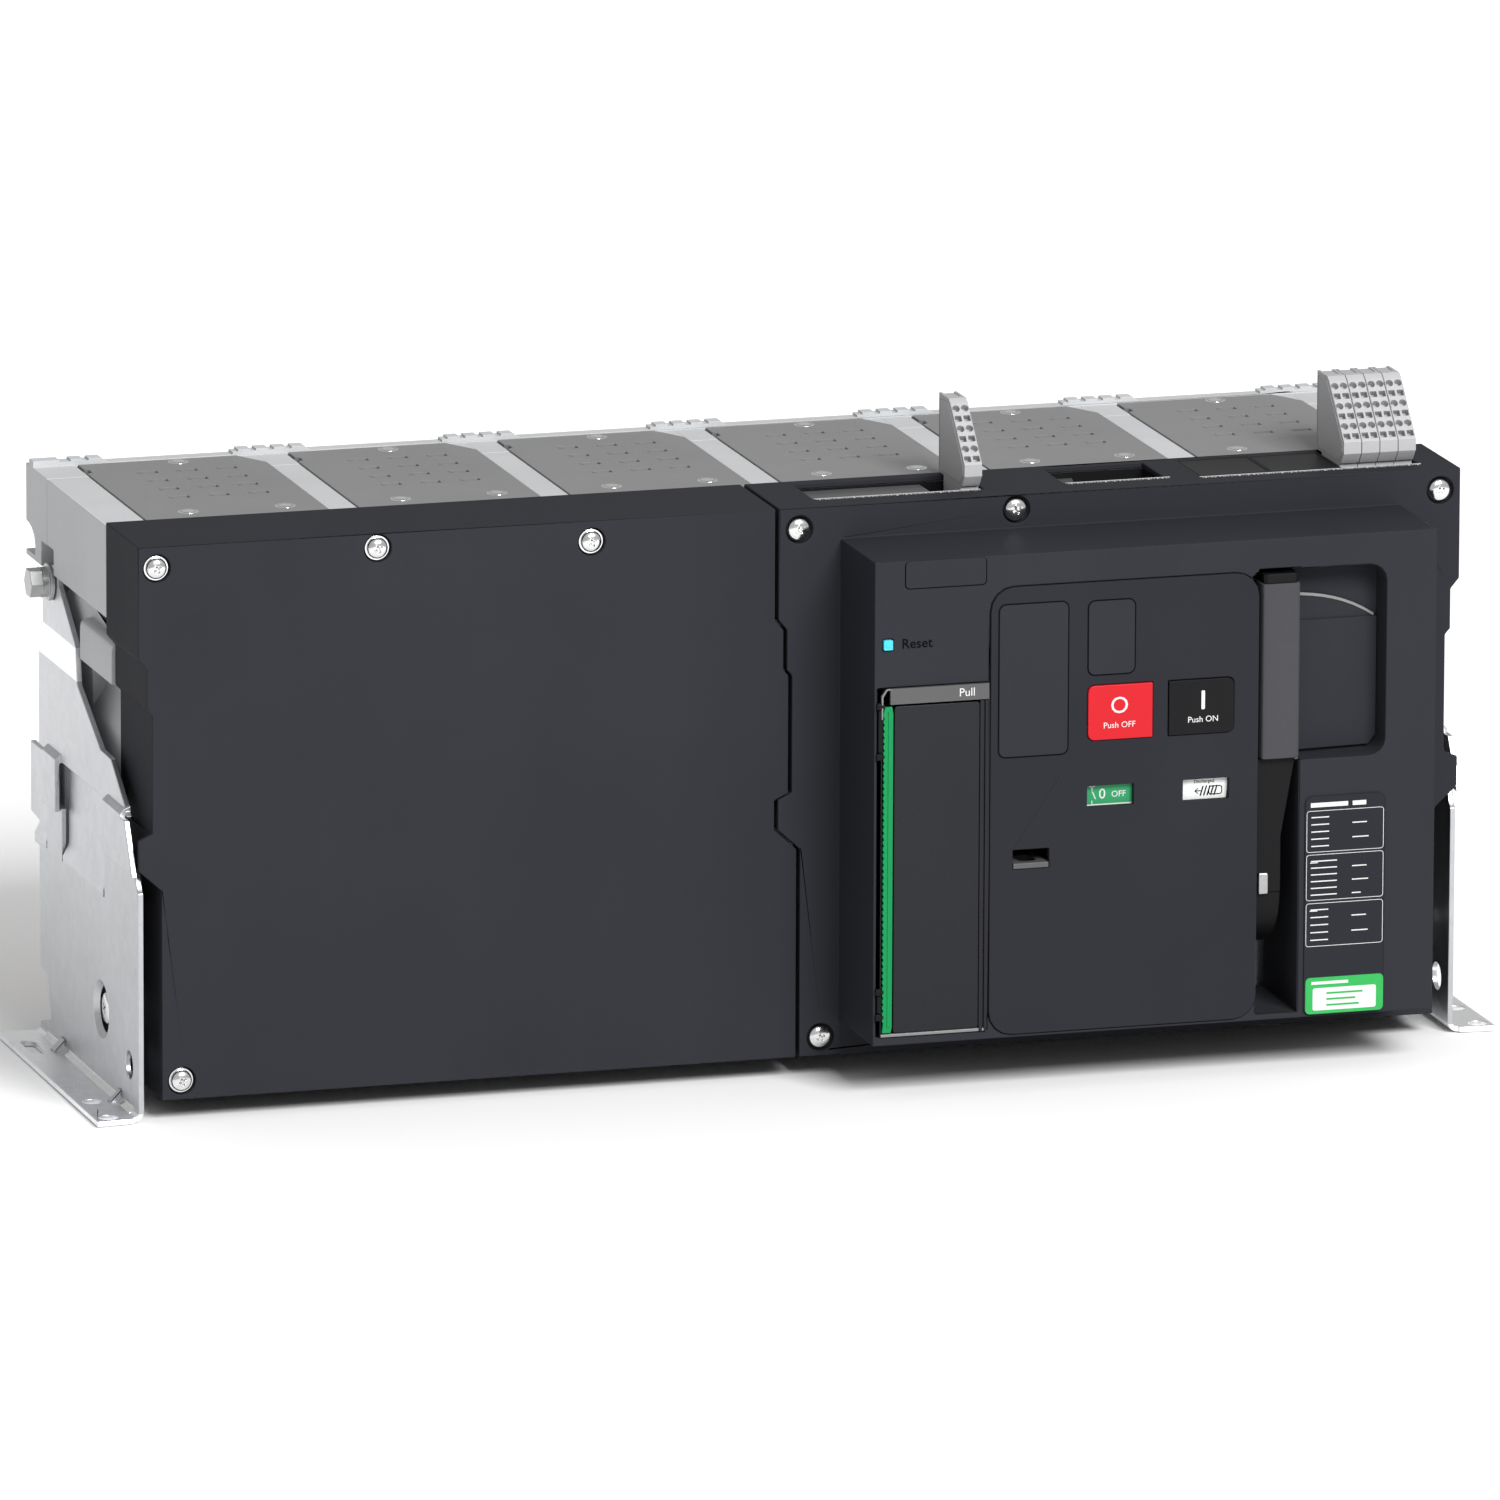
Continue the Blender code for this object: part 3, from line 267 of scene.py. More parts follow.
FINISHES = {
    "cover_grey": moulded("cover_grey", (0.0270, 0.0280, 0.0330), 0.5, 0.012),
    "panel_grey": moulded("panel_grey", (0.0225, 0.0233, 0.0280), 0.5, 0.012),
    "case_grey": moulded("case_grey", (0.50, 0.51, 0.52), 0.6, 0.1, 900.0),
    # Grey of the chute lids; also laid along the pocket's curved edge as a painted highlight.
    "chute_grey": moulded("chute_grey", (0.215, 0.215, 0.215), 0.5, 0.1),
    "zinc": plated("zinc", (0.56, 0.57, 0.59)),
    # Zinc with a painted highlight band: over the side plates' bend from 208.5 to 224 mm, and over the
    # brackets' feet below 4.5 mm.
    "plate_zinc_painted_highlight": plated("plate_zinc_painted_highlight", (0.56, 0.57, 0.59), bright=(0.2085, 0.2240)),
    "bracket_zinc_painted_highlight": plated("bracket_zinc_painted_highlight", (0.56, 0.57, 0.59), bright=(-0.001, 0.0045)),
    "steel": plated("steel", (0.45, 0.45, 0.45), 0.34, 300.0, streak=0.03),
    "copper": plated("copper", (0.72, 0.45, 0.3), 0.35),
    "grip_grey": moulded("grip_grey", (0.048, 0.0465, 0.052), 0.7, 0.2, 500.0, 0.0001),
    # Black plastic; also the sheets in the top wells, laid there as painted shade.
    "black": moulded("black", (0.0078, 0.0078, 0.0086), 0.45, 0.1),
    "red": moulded("red", (0.50, 0.009, 0.016), 0.4, 0.2),
    "green": moulded("green", (0.016, 0.24, 0.09), 0.35),
    "cyan": moulded("cyan", (0.055, 0.50, 0.62), 0.35),
    "white": moulded("white", (0.62, 0.63, 0.62), 0.45),
    "window": moulded("window", (0.05, 0.055, 0.06), 0.12),
    "terminal_grey": moulded("terminal_grey", (0.38, 0.38, 0.39), 0.55, 0.45),
    # Bright plated steel of the screws; also laid along the bend of the brackets' feet as a painted
    # highlight.
    "bright": plated("bright", (0.80, 0.80, 0.80), 0.16, 400.0, streak=0.03),
    "pull_grey": moulded("pull_grey", (0.085, 0.085, 0.087), 0.35, 0.2),
    "unit": moulded("unit", (0.0098, 0.0102, 0.012), 0.45, 0.2),
    "strip": moulded("strip", (0.003, 0.217, 0.063), 0.3, 0.2),
    "sticker_green": moulded("sticker_green", (0.024, 0.34, 0.073), 0.5, grain=300.0),
    # White print; also laid along the front edges of the top wells as a painted highlight.
    "mark_white": moulded("mark_white", (0.60, 0.60, 0.60), 0.5, grain=600.0),
    # Dark print; also laid round the panel blanks as the painted shade of their grooves.
    "mark_dark": moulded("mark_dark", (0.0045, 0.0045, 0.0055), 0.6, 0.0, grain=600.0),
    "yellow": moulded("yellow", (0.65, 0.42, 0.016), 0.45),
    "smoked": moulded("smoked", (0.0125, 0.013, 0.0155), 0.25, 0.2),
    # Lighter grey on the door's clear edges, a painted highlight.
    "clear": moulded("clear", (0.18, 0.18, 0.184), 0.1),
    # Darker grey laid on the louvre ramps as painted shade.
    "louvre_grey": moulded("louvre_grey", (0.150, 0.150, 0.158), 0.5, 0.1),
}
FINISH_OF = {part["node"]: part["material_slot"] for part in frame["record"]["subparts"]}
FINISH_OF.update({"rating_plate": "panel_grey", "padlock_tab": "pull_grey"})
# Side plates and brackets take the zinc finishes with painted highlight bands.
for side in ("left", "right"):
    FINISH_OF[f"side_plate_{side}"] = "plate_zinc_painted_highlight"
    FINISH_OF[f"mounting_bracket_{side}"] = "bracket_zinc_painted_highlight"


# CAD nodes


def smooth_by_angle():
    """A modifier group that smooths every face and keeps edges above the angle sharp."""
    group = bpy.data.node_groups.new("smooth_by_angle", "GeometryNodeTree")
    group.interface.new_socket("Geometry", in_out="INPUT", socket_type="NodeSocketGeometry")
    group.interface.new_socket("Geometry", in_out="OUTPUT", socket_type="NodeSocketGeometry")
    start = group.nodes.new("NodeGroupInput")
    end = group.nodes.new("NodeGroupOutput")
    free = group.nodes.new("GeometryNodeSetMeshNormal")
    free.mode = "SHARPNESS"
    faces = group.nodes.new("GeometryNodeSetShadeSmooth")
    edges = group.nodes.new("GeometryNodeSetShadeSmooth")
    edges.domain = "EDGE"
    edges.inputs["Shade Smooth"].default_value = False
    angle = group.nodes.new("GeometryNodeInputMeshEdgeAngle")
    sharp = group.nodes.new("FunctionNodeCompare")
    sharp.operation = "GREATER_THAN"
    sharp.inputs["B"].default_value = SHARP
    link = group.links.new
    link(start.outputs[0], free.inputs["Mesh"])
    link(free.outputs["Mesh"], faces.inputs["Geometry"])
    link(faces.outputs["Geometry"], edges.inputs["Geometry"])
    link(angle.outputs["Unsigned Angle"], sharp.inputs["A"])
    link(sharp.outputs["Result"], edges.inputs["Selection"])
    link(edges.outputs["Geometry"], end.inputs[0])
    return group


SMOOTH = smooth_by_angle()
EDGE_WIDTH = {"front_cover_left": 0.6, "front_cover_right": 0.7, "front_case": 0.7, "rear_case": 0.3}


def dress_node(name):
    """Gives a CAD node its finish, joined corners and soft edges."""
    node = frame["nodes"][name]
    node.data.materials.clear()
    node.data.materials.append(FINISHES[FINISH_OF[name]])
    weld = node.modifiers.new("weld", "WELD")
    weld.merge_threshold = 0.00001
    soften(node, EDGE_WIDTH.get(name, 0.5))


def soften(made, width, segments=2):
    """Rounded edges, `width` in millimetres, with smooth shading between them."""
    shade = made.modifiers.new("shade", "NODES")
    shade.node_group = SMOOTH
    edge = made.modifiers.new("edge", "BEVEL")
    edge.width = width * MM
    edge.segments = segments
    edge.limit_method = "ANGLE"
    edge.angle_limit = SHARP
    edge.harden_normals = True
    edge.use_clamp_overlap = False
    edge.loop_slide = False
    edge.miter_outer = "MITER_ARC"


# Solids of the detailed pieces, in millimetres


UP = Matrix.Identity(4)
FORWARD = Matrix.Rotation(math.pi / 2, 4, "X")
RIGHT = Matrix.Rotation(math.pi / 2, 4, "Y")
LEFT = Matrix.Rotation(-math.pi / 2, 4, "Y")


def close(bm, faces, index):
    bmesh.ops.recalc_face_normals(bm, faces=faces)
    for face in faces:
        face.material_index = index


PLANES = {
    "xz": lambda u, v, level: (u, level, v),
    "dz": lambda u, v, level: (level, u, v),
    "xd": lambda u, v, level: (u, v, level),
}


def add_prism(bm, outline, plane, span, index=0):
    """An outline drawn in one of the planes, carried across the span of the third direction."""
    spot = PLANES[plane]
    near, far = [[bm.verts.new(spot(u, v, level)) for u, v in outline] for level in span]
    faces = [bm.faces.new(near), bm.faces.new(far[::-1])]
    for i in range(len(outline)):
        j = (i + 1) % len(outline)
        faces.append(bm.faces.new((near[j], near[i], far[i], far[j])))
    close(bm, faces, index)


def add_box(bm, x, d, z, index=0):
    add_prism(bm, [(x[0], z[0]), (x[1], z[0]), (x[1], z[1]), (x[0], z[1])], "xz", d, index)


def add_turned(bm, centre, facing, profile, sides=32, index=0):
    """A profile of (radius, height) turned about an axis; the heights run outwards along it."""
    matrix = Matrix.Translation(centre) @ facing
    rings = []
    for radius, height in profile:
        turns = [2 * math.pi * i / sides for i in range(sides if radius else 1)]
        spots = [Vector((radius * math.cos(turn), radius * math.sin(turn), height)) for turn in turns]
        rings.append([bm.verts.new(matrix @ spot) for spot in spots])
    faces = []
    for low, high in zip(rings, rings[1:]):
        for i in range(sides):
            j = (i + 1) % sides
            corners = (low[i % len(low)], low[j % len(low)], high[j % len(high)], high[i % len(high)])
            corners = tuple(dict.fromkeys(corners))
            if len(corners) > 2:
                faces.append(bm.faces.new(corners))
    for ring in (rings[0], rings[-1]):
        if len(ring) > 2:
            faces.append(bm.faces.new(ring))
    close(bm, faces, index)


def add_line(bm, points, width, depth, plane_d, index=0):
    """A raised line on a face that looks forward; `depth` is how far it stands proud."""
    for (x0, z0), (x1, z1) in zip(points, points[1:]):
        along = Vector((x1 - x0, z1 - z0)).normalized() * width / 2
        side = Vector((-along.y, along.x))
        start, end = Vector((x0, z0)) - along, Vector((x1, z1)) + along
        outline = [tuple(start - side), tuple(end - side), tuple(end + side), tuple(start + side)]
        add_prism(bm, outline, "xz", (plane_d - depth, plane_d + 0.2), index)


def rounded(u, v, radius, steps=4):
    """A rectangle with rounded corners."""
    points = []
    for quarter, (cu, cv) in enumerate(((u[1], v[1]), (u[0], v[1]), (u[0], v[0]), (u[1], v[0]))):
        mu = cu - math.copysign(radius, cu - sum(u) / 2)
        mv = cv - math.copysign(radius, cv - sum(v) / 2)
        for step in range(steps + 1):
            turn = (quarter + step / steps) * math.pi / 2
            points.append((mu + radius * math.cos(turn), mv + radius * math.sin(turn)))
    return points


def add_border(bm, x, z, radius, width, plane_d, depth, index=0):
    """A rounded rectangular line on a face that looks forward."""
    outer = rounded(x, z, radius)
    inner = rounded((x[0] + width, x[1] - width), (z[0] + width, z[1] - width), max(radius - width, 0.2))
    levels = (plane_d - depth, plane_d + 0.2)
    rings = [[bm.verts.new((u, d, v)) for u, v in ring] for ring in (outer, inner) for d in levels]
    outer_near, outer_far, inner_near, inner_far = rings
    around = (outer_near, inner_near, inner_far, outer_far)
    faces = []
    for i in range(len(outer)):
        j = (i + 1) % len(outer)
        for low, high in zip(around, around[1:] + around[:1]):
            faces.append(bm.faces.new((low[i], low[j], high[j], high[i])))
    close(bm, faces, index)


def add_words(bm, words, size, x, z, plane_d, align="CENTER", index=0, thick=0.16):
    """Generic marks as flat raised letters on a face that looks forward."""
    curve = bpy.data.curves.new("words", "FONT")
    curve.body = words
    curve.size = size
    curve.align_x = align
    curve.align_y = "CENTER"
    curve.resolution_u = 3
    curve.extrude = thick / 2
    holder = bpy.data.objects.new("words", curve)
    bpy.context.scene.collection.objects.link(holder)
    mesh = bpy.data.meshes.new_from_object(holder.evaluated_get(bpy.context.evaluated_depsgraph_get()))
    mesh.transform(Matrix.Translation((x, plane_d - thick / 2, z)) @ FORWARD)
    before = len(bm.faces)
    bm.from_mesh(mesh)
    bm.faces.ensure_lookup_table()
    for face in bm.faces[before:]:
        face.material_index = index
    bpy.data.objects.remove(holder, do_unlink=True)
    bpy.data.curves.remove(curve)
    bpy.data.meshes.remove(mesh)


def carved(bm, cutter):
    """The first solid with the second cut out of it."""
    holders = []
    for part in (bm, cutter):
        mesh = bpy.data.meshes.new("carving")
        part.to_mesh(mesh)
        part.free()
        holder = bpy.data.objects.new("carving", mesh)
        bpy.context.scene.collection.objects.link(holder)
        holders.append(holder)
    cut = holders[0].modifiers.new("cut", "BOOLEAN")
    cut.operation = "DIFFERENCE"
    cut.solver = "EXACT"
    cut.use_self = True
    cut.object = holders[1]
    done = bmesh.new()
    done.from_mesh(holders[0].evaluated_get(bpy.context.evaluated_depsgraph_get()).to_mesh())
    for holder in holders:
        mesh = holder.data
        bpy.data.objects.remove(holder, do_unlink=True)
        bpy.data.meshes.remove(mesh)
    return done


def piece(name, bm, finish, body=ROOT, edge=0.25, stands_for=(), segments=2):
    """Turns a solid in millimetres into a dressed piece that rides on a body."""
    bm.transform(TO_FRAME)
    mesh = bpy.data.meshes.new(name)
    bm.to_mesh(mesh)
    bm.free()
    for each in finish.split():
        mesh.materials.append(FINISHES[each])
    made = bpy.data.objects.new(name, mesh)
    bpy.context.scene.collection.objects.link(made)
    if edge:
        soften(made, edge, segments)
    return settle(made, body, stands_for)


def settle(made, body, stands_for):
    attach(made, body)
    if stands_for:
        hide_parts(*stands_for)
    return made


def twin(source, name, shift, body, stands_for=(), edge=0.25):
    """The same solid again, moved by (x, d, z) in millimetres."""
    made = bpy.data.objects.new(name, source.data)
    made.location = Vector(shift) * MM
    bpy.context.scene.collection.objects.link(made)
    if edge:
        soften(made, edge)
    return settle(made, body, stands_for)


def box_mm(node):
    """A CAD node's box as three spans in millimetres: x, d and z."""
    low, high = (TO_FRAME.inverted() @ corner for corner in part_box(node))
    return [(low[i], high[i]) for i in range(3)]


# Cover screws


def cross_recess(centre, facing, reach, depth):
    """Two crossed bars that taper inwards."""
    width, narrowed, aslant = 1.1, 0.45 / 0.55, 0.5
    bm = bmesh.new()
    for turn in (aslant, aslant + math.pi / 2):
        bar = bmesh.new()
        size = (2 * reach, width, 2 * depth)
        bmesh.ops.create_cube(bar, size=1.0, matrix=Matrix.LocRotScale((0, 0, 0), None, size))
        for vert in bar.verts:
            if vert.co.z < 0:
                vert.co.x *= narrowed
        bar.transform(Matrix.Translation(centre) @ facing @ Matrix.Rotation(turn, 4, "Z"))
        mesh = bpy.data.meshes.new("bar")
        bar.to_mesh(mesh)
        bar.free()
        bm.from_mesh(mesh)
        bpy.data.meshes.remove(mesh)
    return bm


def cover_screws():
    """Pan heads with cross recesses; those of the left cover sit on bright washers."""
    sunk, bevel = 3.2, 0.12
    shank = [(0.0, -20.0), (2.6, -19.0), (2.6, 0.0)]
    washer = [(6.8, 0.0), (6.8, 1.0), (6.45, 1.3), (5.6, 1.3)]
    head = [(5.6, 0.9), (5.5, 1.8), (5.1, 2.5), (4.3, 3.15), (3.1, 3.65), (1.6, 3.9), (0.0, 3.95)]
    for first, profile, lift, spread in ((1, shank + washer, 0.7, 1.0), (5, shank, 0.0, 1.12)):
        x, _, z = box_mm(f"cover_screw_{first}")
        centre = Vector((sum(x) / 2, sunk, sum(z) / 2))
        solid = bmesh.new()
        risen = [(radius * spread, height + lift) for radius, height in head]
        seat = [] if lift else [(head[0][0] * spread, 0.0)]
        add_turned(solid, centre, FORWARD, profile + seat + risen, 40)
        recess = cross_recess(centre + Vector((0.0, -(4.1 + lift), 0.0)), FORWARD, 2.7, 1.9)
        stands_for = [f"cover_screw_{first}"]
        source = piece(f"screw_{first}", carved(solid, recess), "bright", ROOT, bevel, stands_for)
        for other in range(first + 1, first + 4):
            spot = box_mm(f"cover_screw_{other}")
            shift = (sum(spot[0]) / 2 - centre.x, 0.0, sum(spot[2]) / 2 - centre.z)
            twin(source, f"screw_{other}", shift, ROOT, [f"cover_screw_{other}"], bevel)


# Terminal blocks


def terminal_blocks():
    """Slices with a sloping face that has two columns of holes, round and square in turn."""
    foot, top = Vector((17.2, 320.0)), Vector((43.0, 348.0))
    slope = (top - foot).normalized()
    middle = (foot + top) / 2
    profile = [
        (17.2, 313.5), (22.0, 307.5), (24.0, 307.2), (24.0, 270.0), (54.0, 270.0), (54.0, 307.2),
        (62.6, 307.2), (62.6, 349.9), (46.0, 349.9), tuple(top), tuple(foot),
    ]
    left, right = box_mm("terminal_block_1")[0]
    centre = (left + right) / 2
    onto = Matrix((
        (1.0, 0.0, 0.0, centre),
        (0.0, slope.x, -slope.y, middle.x),
        (0.0, slope.y, slope.x, middle.y),
        (0.0, 0.0, 0.0, 1.0),
    ))
    holes = bmesh.new()
    for row in range(6):
        along = (row - 2.5) * 6.2
        for side in (-2.4, 2.4):
            if row % 2:
                add_turned(holes, (side, along, -4.0), UP, [(1.5, 0.0), (1.95, 3.4), (1.95, 5.5)], 20)
            else:
                add_box(holes, (side - 1.75, side + 1.75), (along - 1.75, along + 1.75), (-4.2, 1.5))
    holes.transform(onto)
    add_box(holes, (centre - 3.2, centre + 3.2), (50.5, 66.0), (349.1, 352.0))
    solid = bmesh.new()
    add_prism(solid, profile, "dz", (left, right))
    solid = carved(solid, holes)
    ridge = [
        (19.5, 314.0), (25.0, 309.0), (60.5, 309.0), (60.5, 347.5),
        (47.0, 347.5), (44.0, 345.5), (19.5, 319.0),
    ]
    for near, far in ((left - 0.12, left), (right, right + 0.12)):
        add_prism(solid, ridge, "dz", (near, far))
    source = piece("wire_block_1", solid, "terminal_grey", ROOT, 0.3, ["terminal_block_1"])
    for i in range(2, 6):
        shift = (box_mm(f"terminal_block_{i}")[0][0] - left, 0.0, 0.0)
        twin(source, f"wire_block_{i}", shift, ROOT, [f"terminal_block_{i}"], 0.3)


# Arc chutes


def lid_screw(bm, x, d, z):
    """Low head inside a flat ring."""
    profile = [
        (5.6, -0.4), (5.6, 0.1), (5.2, 0.3), (4.6, 0.3), (4.4, 0.05),
        (3.9, 0.05), (3.7, 0.4), (2.2, 0.55), (0.0, 0.6),
    ]
    add_turned(bm, (x, d, z), UP, profile, 24, 1)


def arc_chute_lids():
    """Lid with sunk louvres over a box of splitter plates, once for each cell."""
    x, d, z = box_mm("arc_chute_1")
    middle, top = sum(x) / 2, z[1]
    outline = [
        (x[0], d[0]), (x[1], d[0]), (x[1], d[1] - 20.0), (x[1] - 11.0, d[1]), (x[0] + 1.0, d[1]),
        (x[0] + 1.0, d[1] - 12.0), (x[0] + 3.2, d[1] - 14.0), (x[0] + 3.2, d[1] - 21.0), (x[0], d[1] - 23.0),
    ]
    lid = bmesh.new()
    add_prism(lid, outline, "xd", (top - 4.0, top))
    starts = [
        (middle - 24.2 + 21.5 * column, 121.4 + 21.2 * row)
        for row in range(4) for column in range(3)
    ]
    louvres = bmesh.new()
    for at_x, at_d in starts:
        ramp = [
            (at_x, top + 0.05), (at_x + 9.6, top - 2.6), (at_x + 11.2, top - 2.6),
            (at_x + 11.8, top + 1.0), (at_x, top + 1.0),
        ]
        add_prism(louvres, ramp, "xz", (at_d - 2.9, at_d + 2.9))
        add_box(louvres, (at_x + 9.4, at_x + 11.0), (at_d - 1.4, at_d + 2.4), (top - 6.0, top - 1.4))
    lid = carved(lid, louvres)
    for at_x, at_d in starts:
        add_turned(lid, (at_x - 1.0, at_d, top), UP, [(0.75, -0.2), (0.7, 0.15), (0.4, 0.35), (0.0, 0.4)], 8)
        # Painted shade: a darker patch on the floor of each louvre ramp.
        low, high = (at_x + 1.0, top - 0.45), (at_x + 9.2, top - 2.7)
        floor = [low, (low[0], top - 0.1), (high[0], top - 2.3), high]
        add_prism(lid, floor, "xz", (at_d - 2.8, at_d + 2.8), 3)
    add_box(lid, (x[0], x[1]), (d[0], d[0] + 5.0), (z[0], top - 4.0))
    add_box(lid, (x[0], x[1]), (d[1] - 5.0, d[1]), (z[0], top - 9.0))
    for side in ((x[0], x[0] + 5.0), (x[1] - 5.0, x[1])):
        add_box(lid, side, (d[0] + 5.0, d[1] - 5.0), (z[0], top - 4.0))
    for n in range(7):
        plate = 84.0 + 18.0 * n
        add_box(lid, (x[0] + 5.0, x[1] - 5.0), (plate, plate + 2.0), (z[0] + 8.0, 286.0), 2)
    for spot_x, spot_d in ((4.4, d[1] - 7.0), (-23.0, 85.0), (29.4, 85.0)):
        lid_screw(lid, middle + spot_x, spot_d, top)
    finish = "chute_grey bright zinc louvre_grey"
    source = piece("chute_1", lid, finish, ROOT, 0.22, ["arc_chute_1"])
    corner = bmesh.new()
    outline = [(x[1] + 0.3, d[1] - 20.0), (x[1] - 10.6, d[1] + 0.3), (x[1] + 0.3, d[1] + 0.3)]
    add_prism(corner, outline, "xd", (top - 8.0, top - 0.6))
    filler = piece("chute_corner_1", corner, "case_grey", edge=0.2)
    for i in range(2, 7):
        shift = (box_mm(f"arc_chute_{i}")[0][0] - x[0], 0.0, 0.0)
        twin(source, f"chute_{i}", shift, ROOT, [f"arc_chute_{i}"], 0.22)
        twin(filler, f"chute_corner_{i}", shift, ROOT, (), 0.2)


# Window door and trip unit


def window_door():
    """Smoked pane with a pull bar on top, a green strip at its hinge side and a double rail opposite."""
    x, d, z = box_mm("window_door")
    face = d[0] + 1.4
    bm = bmesh.new()
    add_prism(bm, rounded((29.8, 76.2), (z[0] + 2.0, 211.5), 1.5), "xz", (face, face + 1.5))
    for rail in ((76.4, 78.4), (79.2, x[1])):
        add_box(bm, rail, (face - 0.5, face + 2.0), (z[0], 212.4))
    add_box(bm, (78.3, 79.3), (face + 0.6, face + 2.0), (z[0], 212.4))
    add_box(bm, (x[0] + 2.0, 23.0), (face + 0.3, face + 2.0), (z[0] + 1.0, 212.4))
    piece("door_pane", bm, "smoked", "window_door", 0.3, ["window_door"])
    # Painted highlight: lighter strips along the bottom edge and the top-left bend of the door.
    clear = bmesh.new()
    add_box(clear, (x[0] + 2.2, x[1]), (face - 0.3, face + 1.8), (z[0], z[0] + 1.6))
    bend = [
        (x[0] + 1.6, 205.0), (x[0] + 1.6, 217.4), (x[0] + 4.4, z[1]), (28.4, z[1]),
        (28.4, 220.6), (25.6, 220.4), (x[0] + 2.6, 217.0), (x[0] + 2.5, 205.0),
    ]
    add_prism(clear, bend, "xz", (face - 1.2, face + 0.6))
    piece("door_edge_highlight", clear, "clear", "window_door", 0.35)
    pull = bmesh.new()
    section = [(face + 0.6, 212.9), (face - 1.3, 212.9), (face - 1.0, 221.2), (face + 1.0, 221.2)]
    add_prism(pull, section, "dz", (27.2, x[1]))
    add_words(pull, "Pull", 6.2, 73.4, 217.0, face - 1.15, "RIGHT", 1)
    piece("pull_bar", pull, "pull_grey mark_white", "window_door", 0.0)
    strip = bmesh.new()
    edge = [(23.6, 37.2), (28.3, 37.2), (28.9, 40.0), (28.9, 208.0), (28.3, 211.6), (24.4, 211.6)]
    height = 208.0
    while height > 42.0:
        edge += [(23.6, height), (23.6, height - 1.6), (24.1, height - 1.9), (24.1, height - 3.1)]
        height -= 3.4
    add_prism(strip, edge, "xz", (face - 0.7, face + 1.2))
    add_line(strip, [(26.9, 41.0), (26.9, 208.5)], 1.5, 0.5, face - 0.7, 0)
    piece("door_strip", strip, "strip", "window_door", 0.15)
    hinge = bmesh.new()
    for low, high in ((183.5, 213.8), (44.0, 61.0)):
        add_box(hinge, (20.9, 23.2), (face - 0.9, face + 1.4), (low + 4.0, high - 4.0))
        for end in (low, high - 3.4):
            add_box(hinge, (20.0, 22.6), (face - 1.2, face + 1.0), (end, end + 3.4))
            add_box(hinge, (21.4, 24.2), (face - 1.3, face), (end + 0.8, end + 2.6))
    piece("door_knuckles", hinge, "black", "window_door", 0.3)


def trip_unit():
    """Body with a face plate, a dark blank display and four keys, seen through the door."""
    x, d, z = box_mm("control_unit")
    bm = bmesh.new()
    add_prism(bm, rounded((x[0], x[1] - 0.8), z, 1.5), "xz", (d[0] + 1.2, d[1]))
    add_prism(bm, rounded((30.0, 75.6), (40.5, 203.0), 1.8), "xz", (d[0] + 0.4, d[0] + 1.4))
    add_prism(bm, rounded((49.0, 59.0), (41.2, 47.0), 1.2), "xz", (d[0], d[0] + 0.6))
    add_prism(bm, rounded((34.0, 71.6), (140.0, 190.0), 1.5), "xz", (d[0], d[0] + 0.6), 1)
    for i in range(4):
        key = rounded((35.5 + 9.0 * i, 42.0 + 9.0 * i), (127.0, 133.0), 1.2)
        add_prism(bm, key, "xz", (d[0] - 0.3, d[0] + 0.6))
    for i in range(4):
        centre = (41.5 + (i % 2) * 22.0, d[0] + 0.4, 70.0 + (i // 2) * 26.0)
        add_turned(bm, centre, FORWARD, [(5.4, -0.2), (5.2, 0.5), (0.0, 0.5)], 24)
    piece("trip_unit", bm, "unit black", ROOT, 0.3, ["control_unit"])


# Buttons, flags, grip


def button_marks():
    """Generic marks of the two push buttons."""
    face = box_mm("off_button")[1][0]
    middle = 152.3
    bm = bmesh.new()
    add_words(bm, "O", 12.6, middle, 204.6, face)
    add_words(bm, "Push OFF", 4.5, middle, 194.4, face)
    piece("off_marks", bm, "mark_white", "off_button", 0.0)
    bm = bmesh.new()
    middle = 198.2
    bar = rounded((middle - 0.95, middle + 0.95), (200.0, 210.0), 0.5)
    add_prism(bm, bar, "xz", (face - 0.12, face + 0.1))
    add_words(bm, "Push ON", 4.5, middle, 194.6, face)
    piece("on_marks", bm, "mark_white", "on_button", 0.0)


